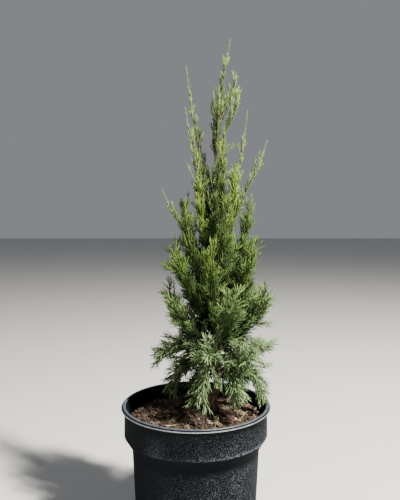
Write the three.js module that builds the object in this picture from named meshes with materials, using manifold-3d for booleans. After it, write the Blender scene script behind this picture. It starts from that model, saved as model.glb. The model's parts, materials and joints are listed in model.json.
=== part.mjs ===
// A young columnar Chinese juniper growing in a round black nursery pot.
// Millimetres, +Z up. The origin is the centre of the pot's flat underside, and -Y is the front.
// The solids are the pot, its filling of soil, the trunk, the boughs, and one mass of foliage for
// each bough, inner shoot, whip and leader. Each mass is a stem with twigs, all set with needles.

import * as THREE from "three";
import { mergeVertices } from "three/addons/utils/BufferGeometryUtils.js";
import Module from "manifold-3d";

const wasm = await Module();
wasm.setup();

// Pot

const POT_HEIGHT = 245;
const POT_SIDES = 32;
const RIM_RADIUS = 125;
const COLLAR_RADIUS = 119.5; // the straight band under the rim
const COLLAR_FOOT = POT_HEIGHT - 50; // the band's sharp lower edge
const BODY_RADIUS = 106; // the tapering body where it meets the collar
const BODY_TOP = POT_HEIGHT - 70;
const HEEL_RADIUS = 95;
const HEEL_HEIGHT = 3;
const UNDERSIDE_RADIUS = 92;
const WALL = 2;
const FLOOR = 2.5;
const FLANGE_DEPTH = 9; // the rim's flange, from its lip up to the bead
const DRAINS = 8;
const DRAIN_SIZE = [14, 13, 9]; // along the wall, inwards, upwards
const POT_LOOK = { color: 0x26292c, roughness: 0.55 };

// Soil

const CLEARANCE = 0.3; // between solids that touch
const SOIL_EDGE = POT_HEIGHT - 32; // surface where the soil meets the pot
const GROUND = POT_HEIGHT - 10; // crest of the mound, at the trunk's foot
const SOIL_SHOULDER = 0.9; // share of the radius where the surface falls away to the wall
const SOIL_RINGS = 3;
const SOIL_RELIEF = 1.6; // height of the lumps in the surface
const SOIL_LOOK = { color: 0x5a4334, roughness: 0.95 };

// Trunk

const FOOT = [21, 20]; // where the trunk leaves the soil
const TRUNK_TOP = POT_HEIGHT + 395;
const TRUNK_AXIS_X = 33; // the upright upper trunk
const LEAN = 23; // how far the foot's lean carries the trunk to the right
const LEAN_HEIGHT = 26;
const SWAY = 11; // a slow bow back towards the axis
const SWAY_HEIGHT = 180;
const DRIFT = 5; // towards the front
const DRIFT_HEIGHT = 100;
const TRUNK_FOOT_RADIUS = 6.6;
const TRUNK_TIP_RADIUS = 1.5;
const FLARE = 3.8; // extra radius at the ground
const FLARE_HEIGHT = 7;
const FLARE_LOBES = 3;
const LOBE_SHARE = 0.16;
const TRUNK_SIDES = 9;
const TRUNK_STEPS = 18;
const BURIED = 14; // length that is grown below the ground and cut off flat
const TRUNK_LOOK = { color: 0x7b5238, roughness: 0.85 };

// Crown

const CROWN_AXIS = [33, 15];
const SEED = 20261;
const MASS_SEED_STEP = 977; // between the seeds of two masses
const GOLDEN_TURN = 137.5;
const ASKEW = new THREE.Vector3(0.3, -0.2, 1); // a direction that no stem follows
const CURVE_SAMPLES = 13;
const FOLIAGE_ROUGHNESS = 0.8;

// One row for each tier of the crown, heights above the pot's rim. A plume leaves the trunk at attach,
// bends at a control point (share of reach, height over attach) and ends at tip. The plumes of a tier go
// round evenly from turn, or stand at their own turns. bare is the share of the plume that is only a
// bough, core the reach of its stem's needles, twig the length of its longest twigs, and lift turns
// those up or down.
const TIERS = [
  { name: "skirt", count: 6, turns: [188, 250, 292, 338, 40, 112], attach: 52, tip: 12, reach: 88,
    bend: [0.6, 40], bare: 0.24, core: 34, twig: 50, lift: -0.5, color: 0x7d9a78 },
  { name: "low", count: 6, turn: 194, attach: 72, tip: 90, reach: 102, bend: [0.6, 16], bare: 0.22,
    core: 36, twig: 54, lift: -0.05, color: 0x6f9168 },
  { name: "middle", count: 6, turn: 220, attach: 86, tip: 178, reach: 93, bend: [0.62, 28], bare: 0,
    core: 36, twig: 54, lift: 0.3, color: 0x64894f },
  { name: "shoulder", count: 6, turn: 205, attach: 112, tip: 258, reach: 80, bend: [0.68, 52], bare: 0,
    core: 34, twig: 50, lift: 0.5, color: 0x66904a },
  { name: "upper", count: 5, turn: 0, attach: 150, tip: 332, reach: 62, bend: [0.78, 72], bare: 0,
    core: 30, twig: 46, lift: 0.65, color: 0x6c9648 },
  { name: "crown", count: 4, turn: 222, attach: 200, tip: 398, reach: 46, bend: [0.85, 80], bare: 0,
    core: 27, twig: 40, lift: 0.8, color: 0x739d49 },
  { name: "spire", count: 3, turn: 180, attach: 270, tip: 462, reach: 30, bend: [1, 60], bare: 0,
    core: 22, twig: 34, lift: 0.9, color: 0x79a34a },
  { name: "heart", count: 2, turn: 275, attach: 170, tip: 390, reach: 25, bend: [1.2, 60], bare: 0,
    core: 28, twig: 34, lift: 0.8, color: 0x64894f },
];
const TIER_WANDER = { turn: 9, reach: 0.06, tip: 9, attach: 7 };

// Upright side shoots above the tiers: tip (x, y, height above the rim) and height on the trunk.
const WHIPS = [
  { tip: [-59, 2, 362], attach: 236 },
  { tip: [-18, -12, 500], attach: 318 },
  { tip: [-18, 38, 589], attach: 352 },
  { tip: [92, 24, 502], attach: 276 },
  { tip: [124, 4, 446], attach: 296 },
];
const WHIP_BEND = [0.62, 0.24]; // control point, as shares of the way out and of the way up
const WHIP = { bare: 0, core: 14, twig: 34, needle: 8, taper: 0.5, lift: 0.8, angle: 24, spacing: 90,
  corners: 4, step: 15, color: 0x7fa84c };

// The leader goes on from the trunk's tip, and its forks leave it at these shares of its length.
const LEADER_TIP = [61, 14, 629];
const LEADER_FORKS = [
  { tip: [32, 40, 543], from: 0.04 },
  { tip: [40, -14, 539], from: 0.12 },
  { tip: [78, 2, 534], from: 0.2 },
  { tip: [73, 30, 573], from: 0.34 },
];
const FORK_CORE = 0.6; // of the leader's own core
const LEADER_BEND = [0.12, 0.5];
const FORK_BEND = [0.8, 0.4];

// Limbs and twigs

const BOUGH_RADII = [2.7, 1.6];
const BOUGH_SIDES = 5;
const BOUGH_STEPS = 3;
const BOUGH_ROOT = 0.05; // share of a plume that is inside the trunk
const BOUGH_LOOK = { color: 0x6e4a35, roughness: 0.85 };
const STEM_RADII = [1.5, 0.6];
const STEM_SWELLING = 0.9; // how much thicker the middle of a stem or twig is, with its needles' bases
const TWIG_RADII = [1.2, 0.5];
const TWIG_NEEDLES = { corners: 4, step: 12, smooth: 0.15 }; // smooth is the share with no needles
const FEWEST_STEPS = 4;
const CORE_RISE = 0.8; // how early along its stem a core is widest: under 1 is early
const CORE_FULLNESS = 0.75; // how blunt its ends are: under 1 is blunt
const NEEDLE_LEAN = 42; // degrees from its stem
const NEEDLE_WANDER = 0.45; // how much shorter a needle may be than its neighbours
const NEEDLE_TRIES = [1, 0.8, 0.6, 0.4, 0.25]; // lengths that a needle is tried at before it is skipped
const NEEDLE_ROOM = 1.2; // radius kept free round a needle
const TWIG_FIRST = 0.15; // share of the stem before its first twig
const TWIG_LAST = 0.9;
const TWIG_LIFT = 0.3; // how far a tier's lift turns the way a twig sets out
const TWIG_CURVE = 0.12; // and how far it bends the twig, as a share of its length
const TWIG_WANDER = { turn: 14, lean: 7, length: 0.15 };
const TWIG_TRIES = [1, 0.8, 0.6];
const TWIG_ROOM = 2.4; // extra radius kept free round a twig
const OWN_SHARE = 0.93; // of the distance to another plume that a point's own may be away
const POT_ROOM = 3.8; // height kept free over the soil and the rim

// How a tier's masses branch: step is the distance between the rings of a stem of so many corners.
const BRANCHING = { taper: 0.45, angle: 48, spacing: 50, needle: 15, corners: 6, step: 16 };

// Vectors and seeded numbers

const point = (x, y, z) => new THREE.Vector3(x, y, z);
const radians = THREE.MathUtils.degToRad;
const mix = THREE.MathUtils.lerp;

// Numbers from 0 to 1 that are the same on every run for a seed.
function seededNumbers(seed) {
  let state = seed >>> 0;
  return () => {
    state = (Math.imul(state, 1664525) + 1013904223) >>> 0;
    return state / 4294967296;
  };
}

// A number from -amount to amount.
const wander = (random, amount) => (2 * random() - 1) * amount;

// Point on the curve from start past bend to end.
function bentPoint([start, bend, end], t) {
  const s = 1 - t;
  return point(0, 0, 0)
    .addScaledVector(start, s * s)
    .addScaledVector(bend, 2 * s * t)
    .addScaledVector(end, t * t);
}

function tangentAt(pointAt, t) {
  const small = 1e-3;
  return pointAt(t + small).sub(pointAt(t - small)).normalize();
}

// The part of a vector that is square to a direction, at length 1.
const squareTo = (vector, direction) =>
  vector.clone().addScaledVector(direction, -vector.dot(direction)).normalize();

// Solids

// The geometry as a solid, with its seams merged and its collapsed faces left out.
function solid(geometry) {
  const bare = new THREE.BufferGeometry().setAttribute("position", geometry.getAttribute("position"));
  bare.setIndex(geometry.index);
  const merged = mergeVertices(bare, 1e-4);
  const faces = [];
  for (let i = 0; i < merged.index.count; i += 3) {
    const [a, b, c] = [0, 1, 2].map((k) => merged.index.getX(i + k));
    if (a !== b && b !== c && c !== a) faces.push(a, b, c);
  }
  return new wasm.Manifold(
    new wasm.Mesh({
      numProp: 3,
      vertProperties: new Float32Array(merged.attributes.position.array),
      triVerts: new Uint32Array(faces),
    }),
  );
}

// The largest body of a solid, so that a sealed hollow is filled and a loose scrap is dropped.
function oneBody(made) {
  return made.decompose().reduce((best, body) => (body.volume() > best.volume() ? body : best));
}

function meshOf(name, made, look) {
  const { vertProperties, triVerts } = oneBody(made).getMesh();
  const geometry = new THREE.BufferGeometry()
    .setAttribute("position", new THREE.BufferAttribute(new Float32Array(vertProperties), 3))
    .setIndex(new THREE.BufferAttribute(new Uint32Array(triVerts), 1));
  geometry.computeVertexNormals();
  const mesh = new THREE.Mesh(
    geometry,
    new THREE.MeshStandardMaterial({ ...look, metalness: 0, flatShading: true }),
  );
  mesh.name = name;
  return mesh;
}

// A limb with flat ends: a cylinder whose rings are set along a curve. A corner of a ring stands at the
// limb's radius, or where tipOf gives a place for it.
function limb({ pathAt, radiusAt, from, to, sides, steps, across, tipOf = () => undefined }) {
  const shape = new THREE.CylinderGeometry(1, 1, 1, sides, steps, true);
  const places = shape.attributes.position;
  const row = sides + 1;
  const faces = [];
  for (let i = 0; i < steps * row; i++) {
    const [a, b, c, d] = [i, i + row, i + row + 1, i + 1];
    if (d % row === 0) continue;
    const folded = (steps - Math.floor(b / row) + (b % row)) % 2 === 1;
    faces.push(...(folded ? [a, b, c, a, c, d] : [a, b, d, b, c, d]));
  }
  const last = steps * row;
  for (let i = 1; i < sides - 1; i++) faces.push(0, i, i + 1, last, last + i + 1, last + i);
  shape.setIndex(faces);
  for (let i = 0; i < places.count; i++) {
    const [ring, corner] = [steps - Math.floor(i / row), (i % row) % sides];
    const t = mix(from, to, ring / steps);
    const turn = (2 * Math.PI * corner) / sides;
    const along = tangentAt(pathAt, t);
    const side = squareTo(across, along);
    const outward = side
      .clone()
      .multiplyScalar(Math.sin(turn))
      .addScaledVector(side.cross(along), Math.cos(turn));
    const radius = radiusAt(t, Math.PI / 2 - turn);
    const place =
      tipOf({ ring, corner, t, outward, along }) ?? pathAt(t).addScaledVector(outward, radius);
    places.setXYZ(i, place.x, place.y, place.z);
  }
  return solid(shape);
}

// Pot: one lathed shell with a rolled lip, and drains cut in the foot of its wall.

function makePot() {
  const inner = COLLAR_RADIUS - WALL;
  const flange = POT_HEIGHT - FLANGE_DEPTH;
  const profile = [
    [0, 0],
    [UNDERSIDE_RADIUS, 0],
    [HEEL_RADIUS, HEEL_HEIGHT],
    [BODY_RADIUS, BODY_TOP],
    [COLLAR_RADIUS, COLLAR_FOOT],
    [COLLAR_RADIUS, flange],
    [RIM_RADIUS - 0.8, flange],
    [RIM_RADIUS, flange + 1.5],
    [RIM_RADIUS, flange + 4],
    [RIM_RADIUS - 2.4, flange + 5.5],
    [RIM_RADIUS - 3.3, POT_HEIGHT - 1.2],
    [RIM_RADIUS - 5.2, POT_HEIGHT],
    [inner + 0.8, POT_HEIGHT - 1],
    [inner, POT_HEIGHT - 4],
    [inner, COLLAR_FOOT + WALL],
    [BODY_RADIUS - WALL, BODY_TOP + WALL],
    [HEEL_RADIUS - WALL, HEEL_HEIGHT + FLOOR],
    [UNDERSIDE_RADIUS - WALL, FLOOR],
    [0, FLOOR],
  ].map(([radius, height]) => new THREE.Vector2(radius, height));
  const shell = new THREE.LatheGeometry(profile, POT_SIDES).rotateX(Math.PI / 2);
  let pot = solid(shell);
  for (let i = 0; i < DRAINS; i++) {
    const drain = new THREE.BoxGeometry(...DRAIN_SIZE);
    drain.translate(0, HEEL_RADIUS - 1, HEEL_HEIGHT);
    drain.rotateZ((2 * Math.PI * (i + 0.5)) / DRAINS);
    pot = pot.subtract(solid(drain));
  }
  return pot;
}

// Soil: a plug that fills the pot, with a lumpy mound that crests at the trunk's foot.

function makeSoil() {
  const gap = WALL + 1.5 * CLEARANCE;
  const crestRadius = 1.35 * (TRUNK_FOOT_RADIUS + FLARE);
  const edge = COLLAR_RADIUS - gap;
  const profile = [
    [0, FLOOR + CLEARANCE],
    [UNDERSIDE_RADIUS - gap, FLOOR + CLEARANCE],
    [HEEL_RADIUS - gap, HEEL_HEIGHT + FLOOR + CLEARANCE],
    [BODY_RADIUS - gap, BODY_TOP + WALL + CLEARANCE],
    [edge, COLLAR_FOOT + WALL + CLEARANCE],
    [edge, SOIL_EDGE],
  ];
  for (let ring = 0; ring <= SOIL_RINGS; ring++) {
    const share = ring / SOIL_RINGS;
    const rise = 1 - (1 - share) ** 1.6;
    const height = mix(mix(SOIL_EDGE, GROUND, 0.35), GROUND, rise);
    profile.push([mix(SOIL_SHOULDER * edge, crestRadius, share), height]);
  }
  profile.push([0, GROUND]);
  const shape = new THREE.LatheGeometry(
    profile.map(([radius, height]) => new THREE.Vector2(radius, height)),
    POT_SIDES,
  ).rotateX(Math.PI / 2);
  const places = shape.attributes.position;
  for (let i = 0; i < places.count; i++) {
    const [x, y, z] = [places.getX(i), places.getY(i), places.getZ(i)];
    if (z <= SOIL_EDGE) continue;
    const radius = Math.hypot(x, y);
    const inward = 1 - (radius - crestRadius) / (edge - crestRadius);
    const share = Math.min(1, Math.max(0, inward));
    const lumps = Math.sin(0.13 * x + 1.7) * Math.sin(0.11 * y) + Math.sin(0.07 * x - 0.15 * y);
    const relief = radius > 1.01 * crestRadius ? SOIL_RELIEF * lumps : 0;
    places.setXYZ(i, x + share * FOOT[0], y + share * FOOT[1], z + relief);
  }
  return solid(shape);
}

// Trunk

function trunkPoint(height) {
  const up = height - GROUND;
  return point(
    TRUNK_AXIS_X + SWAY * Math.exp(-up / SWAY_HEIGHT) - LEAN * Math.exp(-up / LEAN_HEIGHT),
    FOOT[1] - DRIFT * (1 - Math.exp(-up / DRIFT_HEIGHT)),
    height,
  );
}

function trunkRadius(height, angle = 0) {
  const up = Math.max(0, height - GROUND);
  const taper = mix(TRUNK_FOOT_RADIUS, TRUNK_TIP_RADIUS, up / (TRUNK_TOP - GROUND));
  const flare = Math.exp(-up / FLARE_HEIGHT);
  return taper + FLARE * flare * (1 + LOBE_SHARE * Math.cos(FLARE_LOBES * angle));
}

// The trunk, made thicker by extra on all sides.
function makeTrunk(extra) {
  const grown = limb({
    pathAt: trunkPoint,
    radiusAt: (height, angle) => trunkRadius(height, angle) + extra,
    from: GROUND - BURIED,
    to: TRUNK_TOP + extra,
    sides: TRUNK_SIDES,
    steps: TRUNK_STEPS,
    across: point(0, 1, 0),
  });
  const below = new THREE.BoxGeometry(100, 100, 100).translate(...FOOT, GROUND + CLEARANCE - extra - 50);
  return grown.subtract(solid(below));
}

// Plumes: the curve that each bough and its mass of foliage follow.

function tierPlumes() {
  const random = seededNumbers(SEED);
  const plumes = [];
  for (const tier of TIERS) {
    for (let i = 0; i < tier.count; i++) {
      const stand = tier.turns ? tier.turns[i] : tier.turn + (360 * i) / tier.count;
      const turn = radians(stand + wander(random, TIER_WANDER.turn));
      const reach = tier.reach * (1 + wander(random, TIER_WANDER.reach));
      const start = trunkPoint(POT_HEIGHT + tier.attach + wander(random, TIER_WANDER.attach));
      const tipHeight = POT_HEIGHT + tier.tip + wander(random, TIER_WANDER.tip);
      const [x, y] = [CROWN_AXIS[0] + reach * Math.cos(turn), CROWN_AXIS[1] + reach * Math.sin(turn)];
      const [out, rise] = tier.bend;
      const bend = point(mix(start.x, x, out), mix(start.y, y, out), start.z + rise);
      const path = [start, bend, point(x, y, tipHeight)];
      plumes.push({ ...BRANCHING, ...tier, name: `${tier.name}_${i + 1}`, path });
    }
  }
  return plumes;
}

// A curve that leaves start outwards and turns up to a tip given by its height above the rim.
function risingPath(start, [x, y, height], [out, rise]) {
  const end = point(x, y, POT_HEIGHT + height);
  return [start, point(mix(start.x, x, out), mix(start.y, y, out), mix(start.z, end.z, rise)), end];
}

function whipPlumes() {
  return WHIPS.map(({ tip, attach }, i) => ({
    ...WHIP,
    name: `whip_${i + 1}`,
    path: risingPath(trunkPoint(POT_HEIGHT + attach), tip, WHIP_BEND),
  }));
}

function leaderPlume() {
  const path = risingPath(trunkPoint(TRUNK_TOP + CLEARANCE), LEADER_TIP, LEADER_BEND);
  const forks = LEADER_FORKS.map(({ tip, from }) => risingPath(bentPoint(path, from), tip, FORK_BEND));
  return { ...WHIP, name: "leader", path, forks };
}

// Free space: the trunk, every bough and every twig is kept as rods with a radius.

const rods = [];

// Shortest distance between the straight lines from a to b and from c to d.
function lineDistance(a, b, c, d) {
  const [u, v, w] = [b.clone().sub(a), d.clone().sub(c), a.clone().sub(c)];
  const [uu, uv, vv, uw, vw] = [u.dot(u), u.dot(v), v.dot(v), u.dot(w), v.dot(w)];
  const clamp = (value) => Math.min(1, Math.max(0, value));
  const spread = uu * vv - uv * uv;
  const first = spread > 1e-9 ? clamp((uv * vw - vv * uw) / spread) : 0;
  const t = clamp((uv * first + vw) / vv);
  const s = clamp((uv * t - uw) / uu);
  return w.addScaledVector(u, s).addScaledVector(v, -t).length();
}

// Rods along a curve, as wide as radius(t) plus room.
function rodsAlong(pathAt, radiusAt, room, from, to, steps) {
  return Array.from({ length: steps }, (_, i) => {
    const [start, end] = [mix(from, to, i / steps), mix(from, to, (i + 1) / steps)];
    return { a: pathAt(start), b: pathAt(end), radius: Math.max(radiusAt(start), radiusAt(end)) + room };
  });
}

// Whether new rods touch those that are kept.
const touchesKept = (made) =>
  rods.some((rod) =>
    made.some(({ a, b, radius }) => lineDistance(a, b, rod.a, rod.b) < rod.radius + radius),
  );

// Whether a point is nearer to its own plume than to any other.
function inOwnSpace(place, owner, curves) {
  const nearest = (mine) =>
    Math.min(
      ...curves
        .filter(({ name }) => (name === owner) === mine)
        .flatMap(({ samples }) => samples.map((sample) => sample.distanceTo(place))),
    );
  return nearest(true) < OWN_SHARE * nearest(false);
}

// Above the soil, and above the pot's rim where it is near that.
function clearOfPot(place) {
  const overSoil = Math.hypot(place.x, place.y) < COLLAR_RADIUS - WALL - POT_ROOM;
  return place.z > (overSoil ? GROUND : POT_HEIGHT) + POT_ROOM;
}

// Foliage

// A stem or twig set with needles. Every other corner of each ring is the tip of a needle, which is
// drawn out and forward as far as there is room, and the corners between them lie on the bark.
function makeNeedled({ name, pathAt, from, to, length, radii, needle, corners, step, smooth }, curves) {
  const steps = Math.max(FEWEST_STEPS, Math.round(length / step));
  const uneven = Array.from({ length: (steps + 1) * corners }, seededNumbers(Math.round(1000 * length)));
  const shareAt = (t) => (t - from) / (to - from);
  const radiusAt = (t) => mix(...radii, shareAt(t)) + STEM_SWELLING * Math.sin(Math.PI * shareAt(t));
  const tipOf = ({ ring, corner, t, outward, along }) => {
    const share = shareAt(t);
    if ((ring + corner) % 2 === 0 || share < smooth || ring === 0 || ring === steps) return undefined;
    const swelling = Math.sin(Math.PI * share ** CORE_RISE) ** CORE_FULLNESS;
    const reach = needle * swelling * (1 - NEEDLE_WANDER * uneven[ring * corners + corner]);
    const way = along
      .clone()
      .multiplyScalar(Math.cos(radians(NEEDLE_LEAN)))
      .addScaledVector(outward, Math.sin(radians(NEEDLE_LEAN)));
    const start = pathAt(t).addScaledVector(outward, radiusAt(t));
    return NEEDLE_TRIES.map((size) => start.clone().addScaledVector(way, size * reach)).find((tip) => {
      const room = [{ a: start, b: tip, radius: NEEDLE_ROOM }];
      return clearOfPot(tip) && inOwnSpace(tip, name, curves) && !touchesKept(room);
    });
  };
  return limb({ pathAt, radiusAt, tipOf, from, to, sides: corners, steps, across: ASKEW });
}

// The stem of a mass along pathAt with the twigs that branch from it, added to pieces.
function growStem(mass, pathAt, from, core, pieces, random, curves) {
  const { name, lift, angle, spacing, twig, taper, corners, step } = mass;
  const up = point(0, 0, lift);
  const length = pathAt(1).distanceTo(pathAt(0.5)) + pathAt(0.5).distanceTo(pathAt(from));
  const count = Math.round(length / spacing);
  let turn = 360 * random();
  for (let i = 0; i < count; i++) {
    const share = mix(TWIG_FIRST, TWIG_LAST, (i + 0.5) / count);
    const t = mix(from, 1, share);
    const [base, along] = [pathAt(t), tangentAt(pathAt, t)];
    turn += GOLDEN_TURN + wander(random, TWIG_WANDER.turn);
    const side = squareTo(ASKEW, along);
    const outward = side
      .clone()
      .multiplyScalar(Math.cos(radians(turn)))
      .addScaledVector(side.cross(along), Math.sin(radians(turn)));
    const lean = radians(angle + wander(random, TWIG_WANDER.lean));
    const way = along.multiplyScalar(Math.cos(lean)).addScaledVector(outward, Math.sin(lean));
    way.addScaledVector(up, TWIG_LIFT).normalize();
    const whole = twig * (1 - taper * share) * (1 + wander(random, TWIG_WANDER.length));
    for (const size of TWIG_TRIES) {
      const end = base.clone().addScaledVector(way, size * whole);
      const bow = TWIG_CURVE * size * whole;
      const twigAt = (s) => base.clone().lerp(end, s).addScaledVector(up, bow * s * s);
      const room = rodsAlong(twigAt, () => TWIG_RADII[0], TWIG_ROOM, 0, 1, 2);
      const free = room.every(({ b }) => clearOfPot(b) && inOwnSpace(b, name, curves));
      if (!free || touchesKept(room.slice(1))) continue;
      const grown = { name, pathAt: twigAt, from: 0, to: 1, length: size * whole, radii: TWIG_RADII };
      pieces.push(makeNeedled({ ...grown, ...TWIG_NEEDLES, needle: mass.needle }, curves));
      rods.push(...room);
      break;
    }
  }
  const stem = { name, pathAt, from, to: 1, length, radii: STEM_RADII, needle: core };
  pieces.push(makeNeedled({ ...stem, corners, step, smooth: 0 }, curves));
}

// A mass as one solid, clear of its bough's tip or of the trunk.
function growMass(mass, index, curves, trunkRoom) {
  const random = seededNumbers(SEED + MASS_SEED_STEP * (index + 1));
  const pieces = [];
  const from = mass.bare ? mass.bare + CLEARANCE / mass.path[0].distanceTo(mass.path[2]) : 0;
  growStem(mass, (t) => bentPoint(mass.path, t), from, mass.core, pieces, random, curves);
  for (const path of mass.forks ?? []) {
    growStem(mass, (t) => bentPoint(path, t), 0, FORK_CORE * mass.core, pieces, random, curves);
  }
  const made = pieces.reduce((whole, piece) => whole.add(piece));
  return mass.bare ? made : made.subtract(trunkRoom);
}

// The whole plant

// Points along the path of each plume and of each fork, from where its foliage starts.
function foliageCurves(masses) {
  const sampled = (name, path, from) => ({
    name,
    samples: Array.from({ length: CURVE_SAMPLES }, (_, i) =>
      bentPoint(path, mix(from, 1, i / (CURVE_SAMPLES - 1))),
    ),
  });
  return masses.flatMap(({ name, path, bare, forks = [] }) => [
    sampled(name, path, bare),
    ...forks.map((fork) => sampled(name, fork, 0)),
  ]);
}

function makeJuniper() {
  const group = new THREE.Group();
  const trunkRoom = makeTrunk(CLEARANCE);
  group.add(meshOf("pot", makePot(), POT_LOOK));
  group.add(meshOf("soil", makeSoil(), SOIL_LOOK));
  group.add(meshOf("trunk", makeTrunk(0), TRUNK_LOOK));
  rods.push(...rodsAlong(trunkPoint, trunkRadius, CLEARANCE, GROUND, TRUNK_TOP, TRUNK_STEPS));

  const masses = [...tierPlumes(), ...whipPlumes(), leaderPlume()];
  for (const { name, path, bare } of masses.filter((mass) => mass.bare)) {
    const pathAt = (t) => bentPoint(path, t);
    const radiusAt = (t) => mix(...BOUGH_RADII, t / bare);
    const bough = { pathAt, radiusAt, from: 0, to: bare, sides: BOUGH_SIDES, steps: BOUGH_STEPS };
    const grown = limb({ ...bough, across: point(0, 0, 1) });
    group.add(meshOf(`bough_${name}`, grown.subtract(trunkRoom), BOUGH_LOOK));
    rods.push(...rodsAlong(pathAt, radiusAt, CLEARANCE, BOUGH_ROOT, bare, BOUGH_STEPS));
  }

  const curves = foliageCurves(masses);
  masses.forEach((mass, index) => {
    const look = { color: mass.color, roughness: FOLIAGE_ROUGHNESS };
    group.add(meshOf(`mass_${mass.name}`, growMass(mass, index, curves, trunkRoom), look));
  });
  return group;
}

export default makeJuniper();
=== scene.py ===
# %% [markdown]
# # A young columnar juniper in a nursery pot
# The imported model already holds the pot, the soil, the trunk, the boughs and a plain solid for each
# mass of foliage, all at their real size. This script keeps every place and size, and dresses the
# model: a moulded pot, a bark mix with chips in it, peeling bark, and foliage that grows from the
# same limbs by the same rule down to the last branchlet. Sizes are written in millimetres, as a
# grower would say them, and turned into metres where a mesh is made.

import json
import math

import bmesh
import bpy
import numpy as np
from mathutils import Matrix, Vector, noise
from mathutils.bvhtree import BVHTree

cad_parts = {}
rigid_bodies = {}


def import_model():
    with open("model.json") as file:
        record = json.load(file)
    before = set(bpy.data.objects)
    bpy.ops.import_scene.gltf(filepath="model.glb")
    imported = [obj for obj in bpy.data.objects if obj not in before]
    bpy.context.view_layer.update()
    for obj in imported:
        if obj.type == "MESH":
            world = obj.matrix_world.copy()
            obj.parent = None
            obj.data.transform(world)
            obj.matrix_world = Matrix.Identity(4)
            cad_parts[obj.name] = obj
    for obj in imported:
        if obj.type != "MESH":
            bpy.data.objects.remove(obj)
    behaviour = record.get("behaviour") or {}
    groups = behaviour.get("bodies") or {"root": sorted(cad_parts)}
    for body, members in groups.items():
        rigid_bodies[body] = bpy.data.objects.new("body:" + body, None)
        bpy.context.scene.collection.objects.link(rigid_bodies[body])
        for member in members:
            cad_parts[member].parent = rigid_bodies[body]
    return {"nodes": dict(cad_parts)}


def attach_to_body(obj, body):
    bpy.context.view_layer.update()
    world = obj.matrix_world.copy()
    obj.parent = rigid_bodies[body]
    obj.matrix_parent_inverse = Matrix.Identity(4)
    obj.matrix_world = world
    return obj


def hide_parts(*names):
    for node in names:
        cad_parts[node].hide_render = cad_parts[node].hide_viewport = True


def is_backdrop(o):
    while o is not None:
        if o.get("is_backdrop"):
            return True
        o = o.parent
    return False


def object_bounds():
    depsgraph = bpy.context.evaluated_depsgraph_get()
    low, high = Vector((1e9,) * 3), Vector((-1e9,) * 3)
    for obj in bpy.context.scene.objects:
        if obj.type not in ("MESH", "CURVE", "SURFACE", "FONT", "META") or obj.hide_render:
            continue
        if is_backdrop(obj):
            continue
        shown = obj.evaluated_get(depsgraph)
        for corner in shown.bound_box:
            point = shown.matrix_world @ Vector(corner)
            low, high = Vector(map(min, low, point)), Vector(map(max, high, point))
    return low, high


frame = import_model()
cad_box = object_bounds()
MM = 0.001
MASSES = sorted(name for name in frame["nodes"] if name.startswith("mass_"))
BOUGHS = sorted(name for name in frame["nodes"] if name.startswith("bough_"))
print(len(frame["nodes"]), "solids,", len(MASSES), "of them foliage")

# %% [markdown]
# ## The camera
# The picture was taken from a little under a metre away and 0.3 m over the pot's rim, which is why
# the soil shows as a flat ellipse. The camera is tilted up by three degrees and its frame is shifted
# down, so that the pot sits low with its foot cut off, as in the picture. The sensor is fitted by
# its height, which keeps the lens honest for a picture that is taller than it is wide.

# %% Camera
SENSOR = 36
PICTURE_HEIGHT = 500
FOCAL_LENGTH = 517  # in the picture's own pixels
camera_data = bpy.data.cameras.new("camera")
camera_data.sensor_fit = "VERTICAL"
camera_data.sensor_height = SENSOR
camera_data.lens = FOCAL_LENGTH / PICTURE_HEIGHT * SENSOR
camera_data.shift_y = -0.1
camera = bpy.data.objects.new("camera", camera_data)
camera.location = (0.007, -0.893, 0.537)
camera.rotation_euler = (math.radians(90 + 3.24), 0, 0)
bpy.context.scene.collection.objects.link(camera)
bpy.context.scene.camera = camera
print("lens", round(camera_data.lens, 1), "mm")

# %% [markdown]
# ## Floor and light
# The floor is a plain pale sheet, and the world gives an even soft light from all round. A small
# key light, high on the right, stands in for the sun of the picture: it rakes over the foliage, so
# that lit branchlets stand out against the dark inside of the crown. A weak, wide light from the
# left keeps the shaded side readable.

# %% Floor, world and lights
bm = bmesh.new()
bmesh.ops.create_grid(bm, x_segments=1, y_segments=1, size=30)
floor_mesh = bpy.data.meshes.new("floor")
bm.to_mesh(floor_mesh)
bm.free()
floor = bpy.data.objects.new("floor", floor_mesh)
bpy.context.scene.collection.objects.link(floor)
floor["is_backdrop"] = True

pale = bpy.data.materials.new("pale_floor")
pale.use_nodes = True
pale_shader = pale.node_tree.nodes["Principled BSDF"]
pale_shader.inputs["Base Color"].default_value = (0.56, 0.555, 0.54, 1)
pale_shader.inputs["Roughness"].default_value = 0.9
floor_mesh.materials.append(pale)

world = bpy.data.worlds.new("soft_room")
world.use_nodes = True
background = world.node_tree.nodes["Background"]
background.inputs["Color"].default_value = (0.9, 0.93, 1.0, 1)
background.inputs["Strength"].default_value = 0.26
bpy.context.scene.world = world


def add_light(name, place, target, size, power, color):
    """A square area light at place that shines at target, all in metres."""
    data = bpy.data.lights.new(name, "AREA")
    data.size = size
    data.energy = power
    data.color = color
    light = bpy.data.objects.new(name, data)
    light.location = place
    light.rotation_euler = (Vector(target) - Vector(place)).to_track_quat("-Z", "Y").to_euler()
    bpy.context.scene.collection.objects.link(light)


add_light("key_light", (1.5, -1.15, 2.75), (0.02, 0, 0.45), 0.2, 540, (1.0, 0.96, 0.88))
add_light("fill_light", (-1.8, -1.4, 1.3), (0.02, 0, 0.4), 1.6, 5, (0.88, 0.93, 1.0))
print("floor and two lights")

# %% [markdown]
# ## Materials
# Every finish here is procedural. Two small effects come back on several surfaces, so each is a
# node group that is built once and placed with its own values: *grain* is noise of a given size,
# which serves as a mask and as a height, and *dust and painted light* lays specks of another
# colour over a colour where the noise is high, as dried splashes of compost and lime do; on the pot
# the same pale specks also make painted highlights. A group only puts out colours and values, and
# the Principled shader stays in each material.

# %% Nodes by the line


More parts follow.
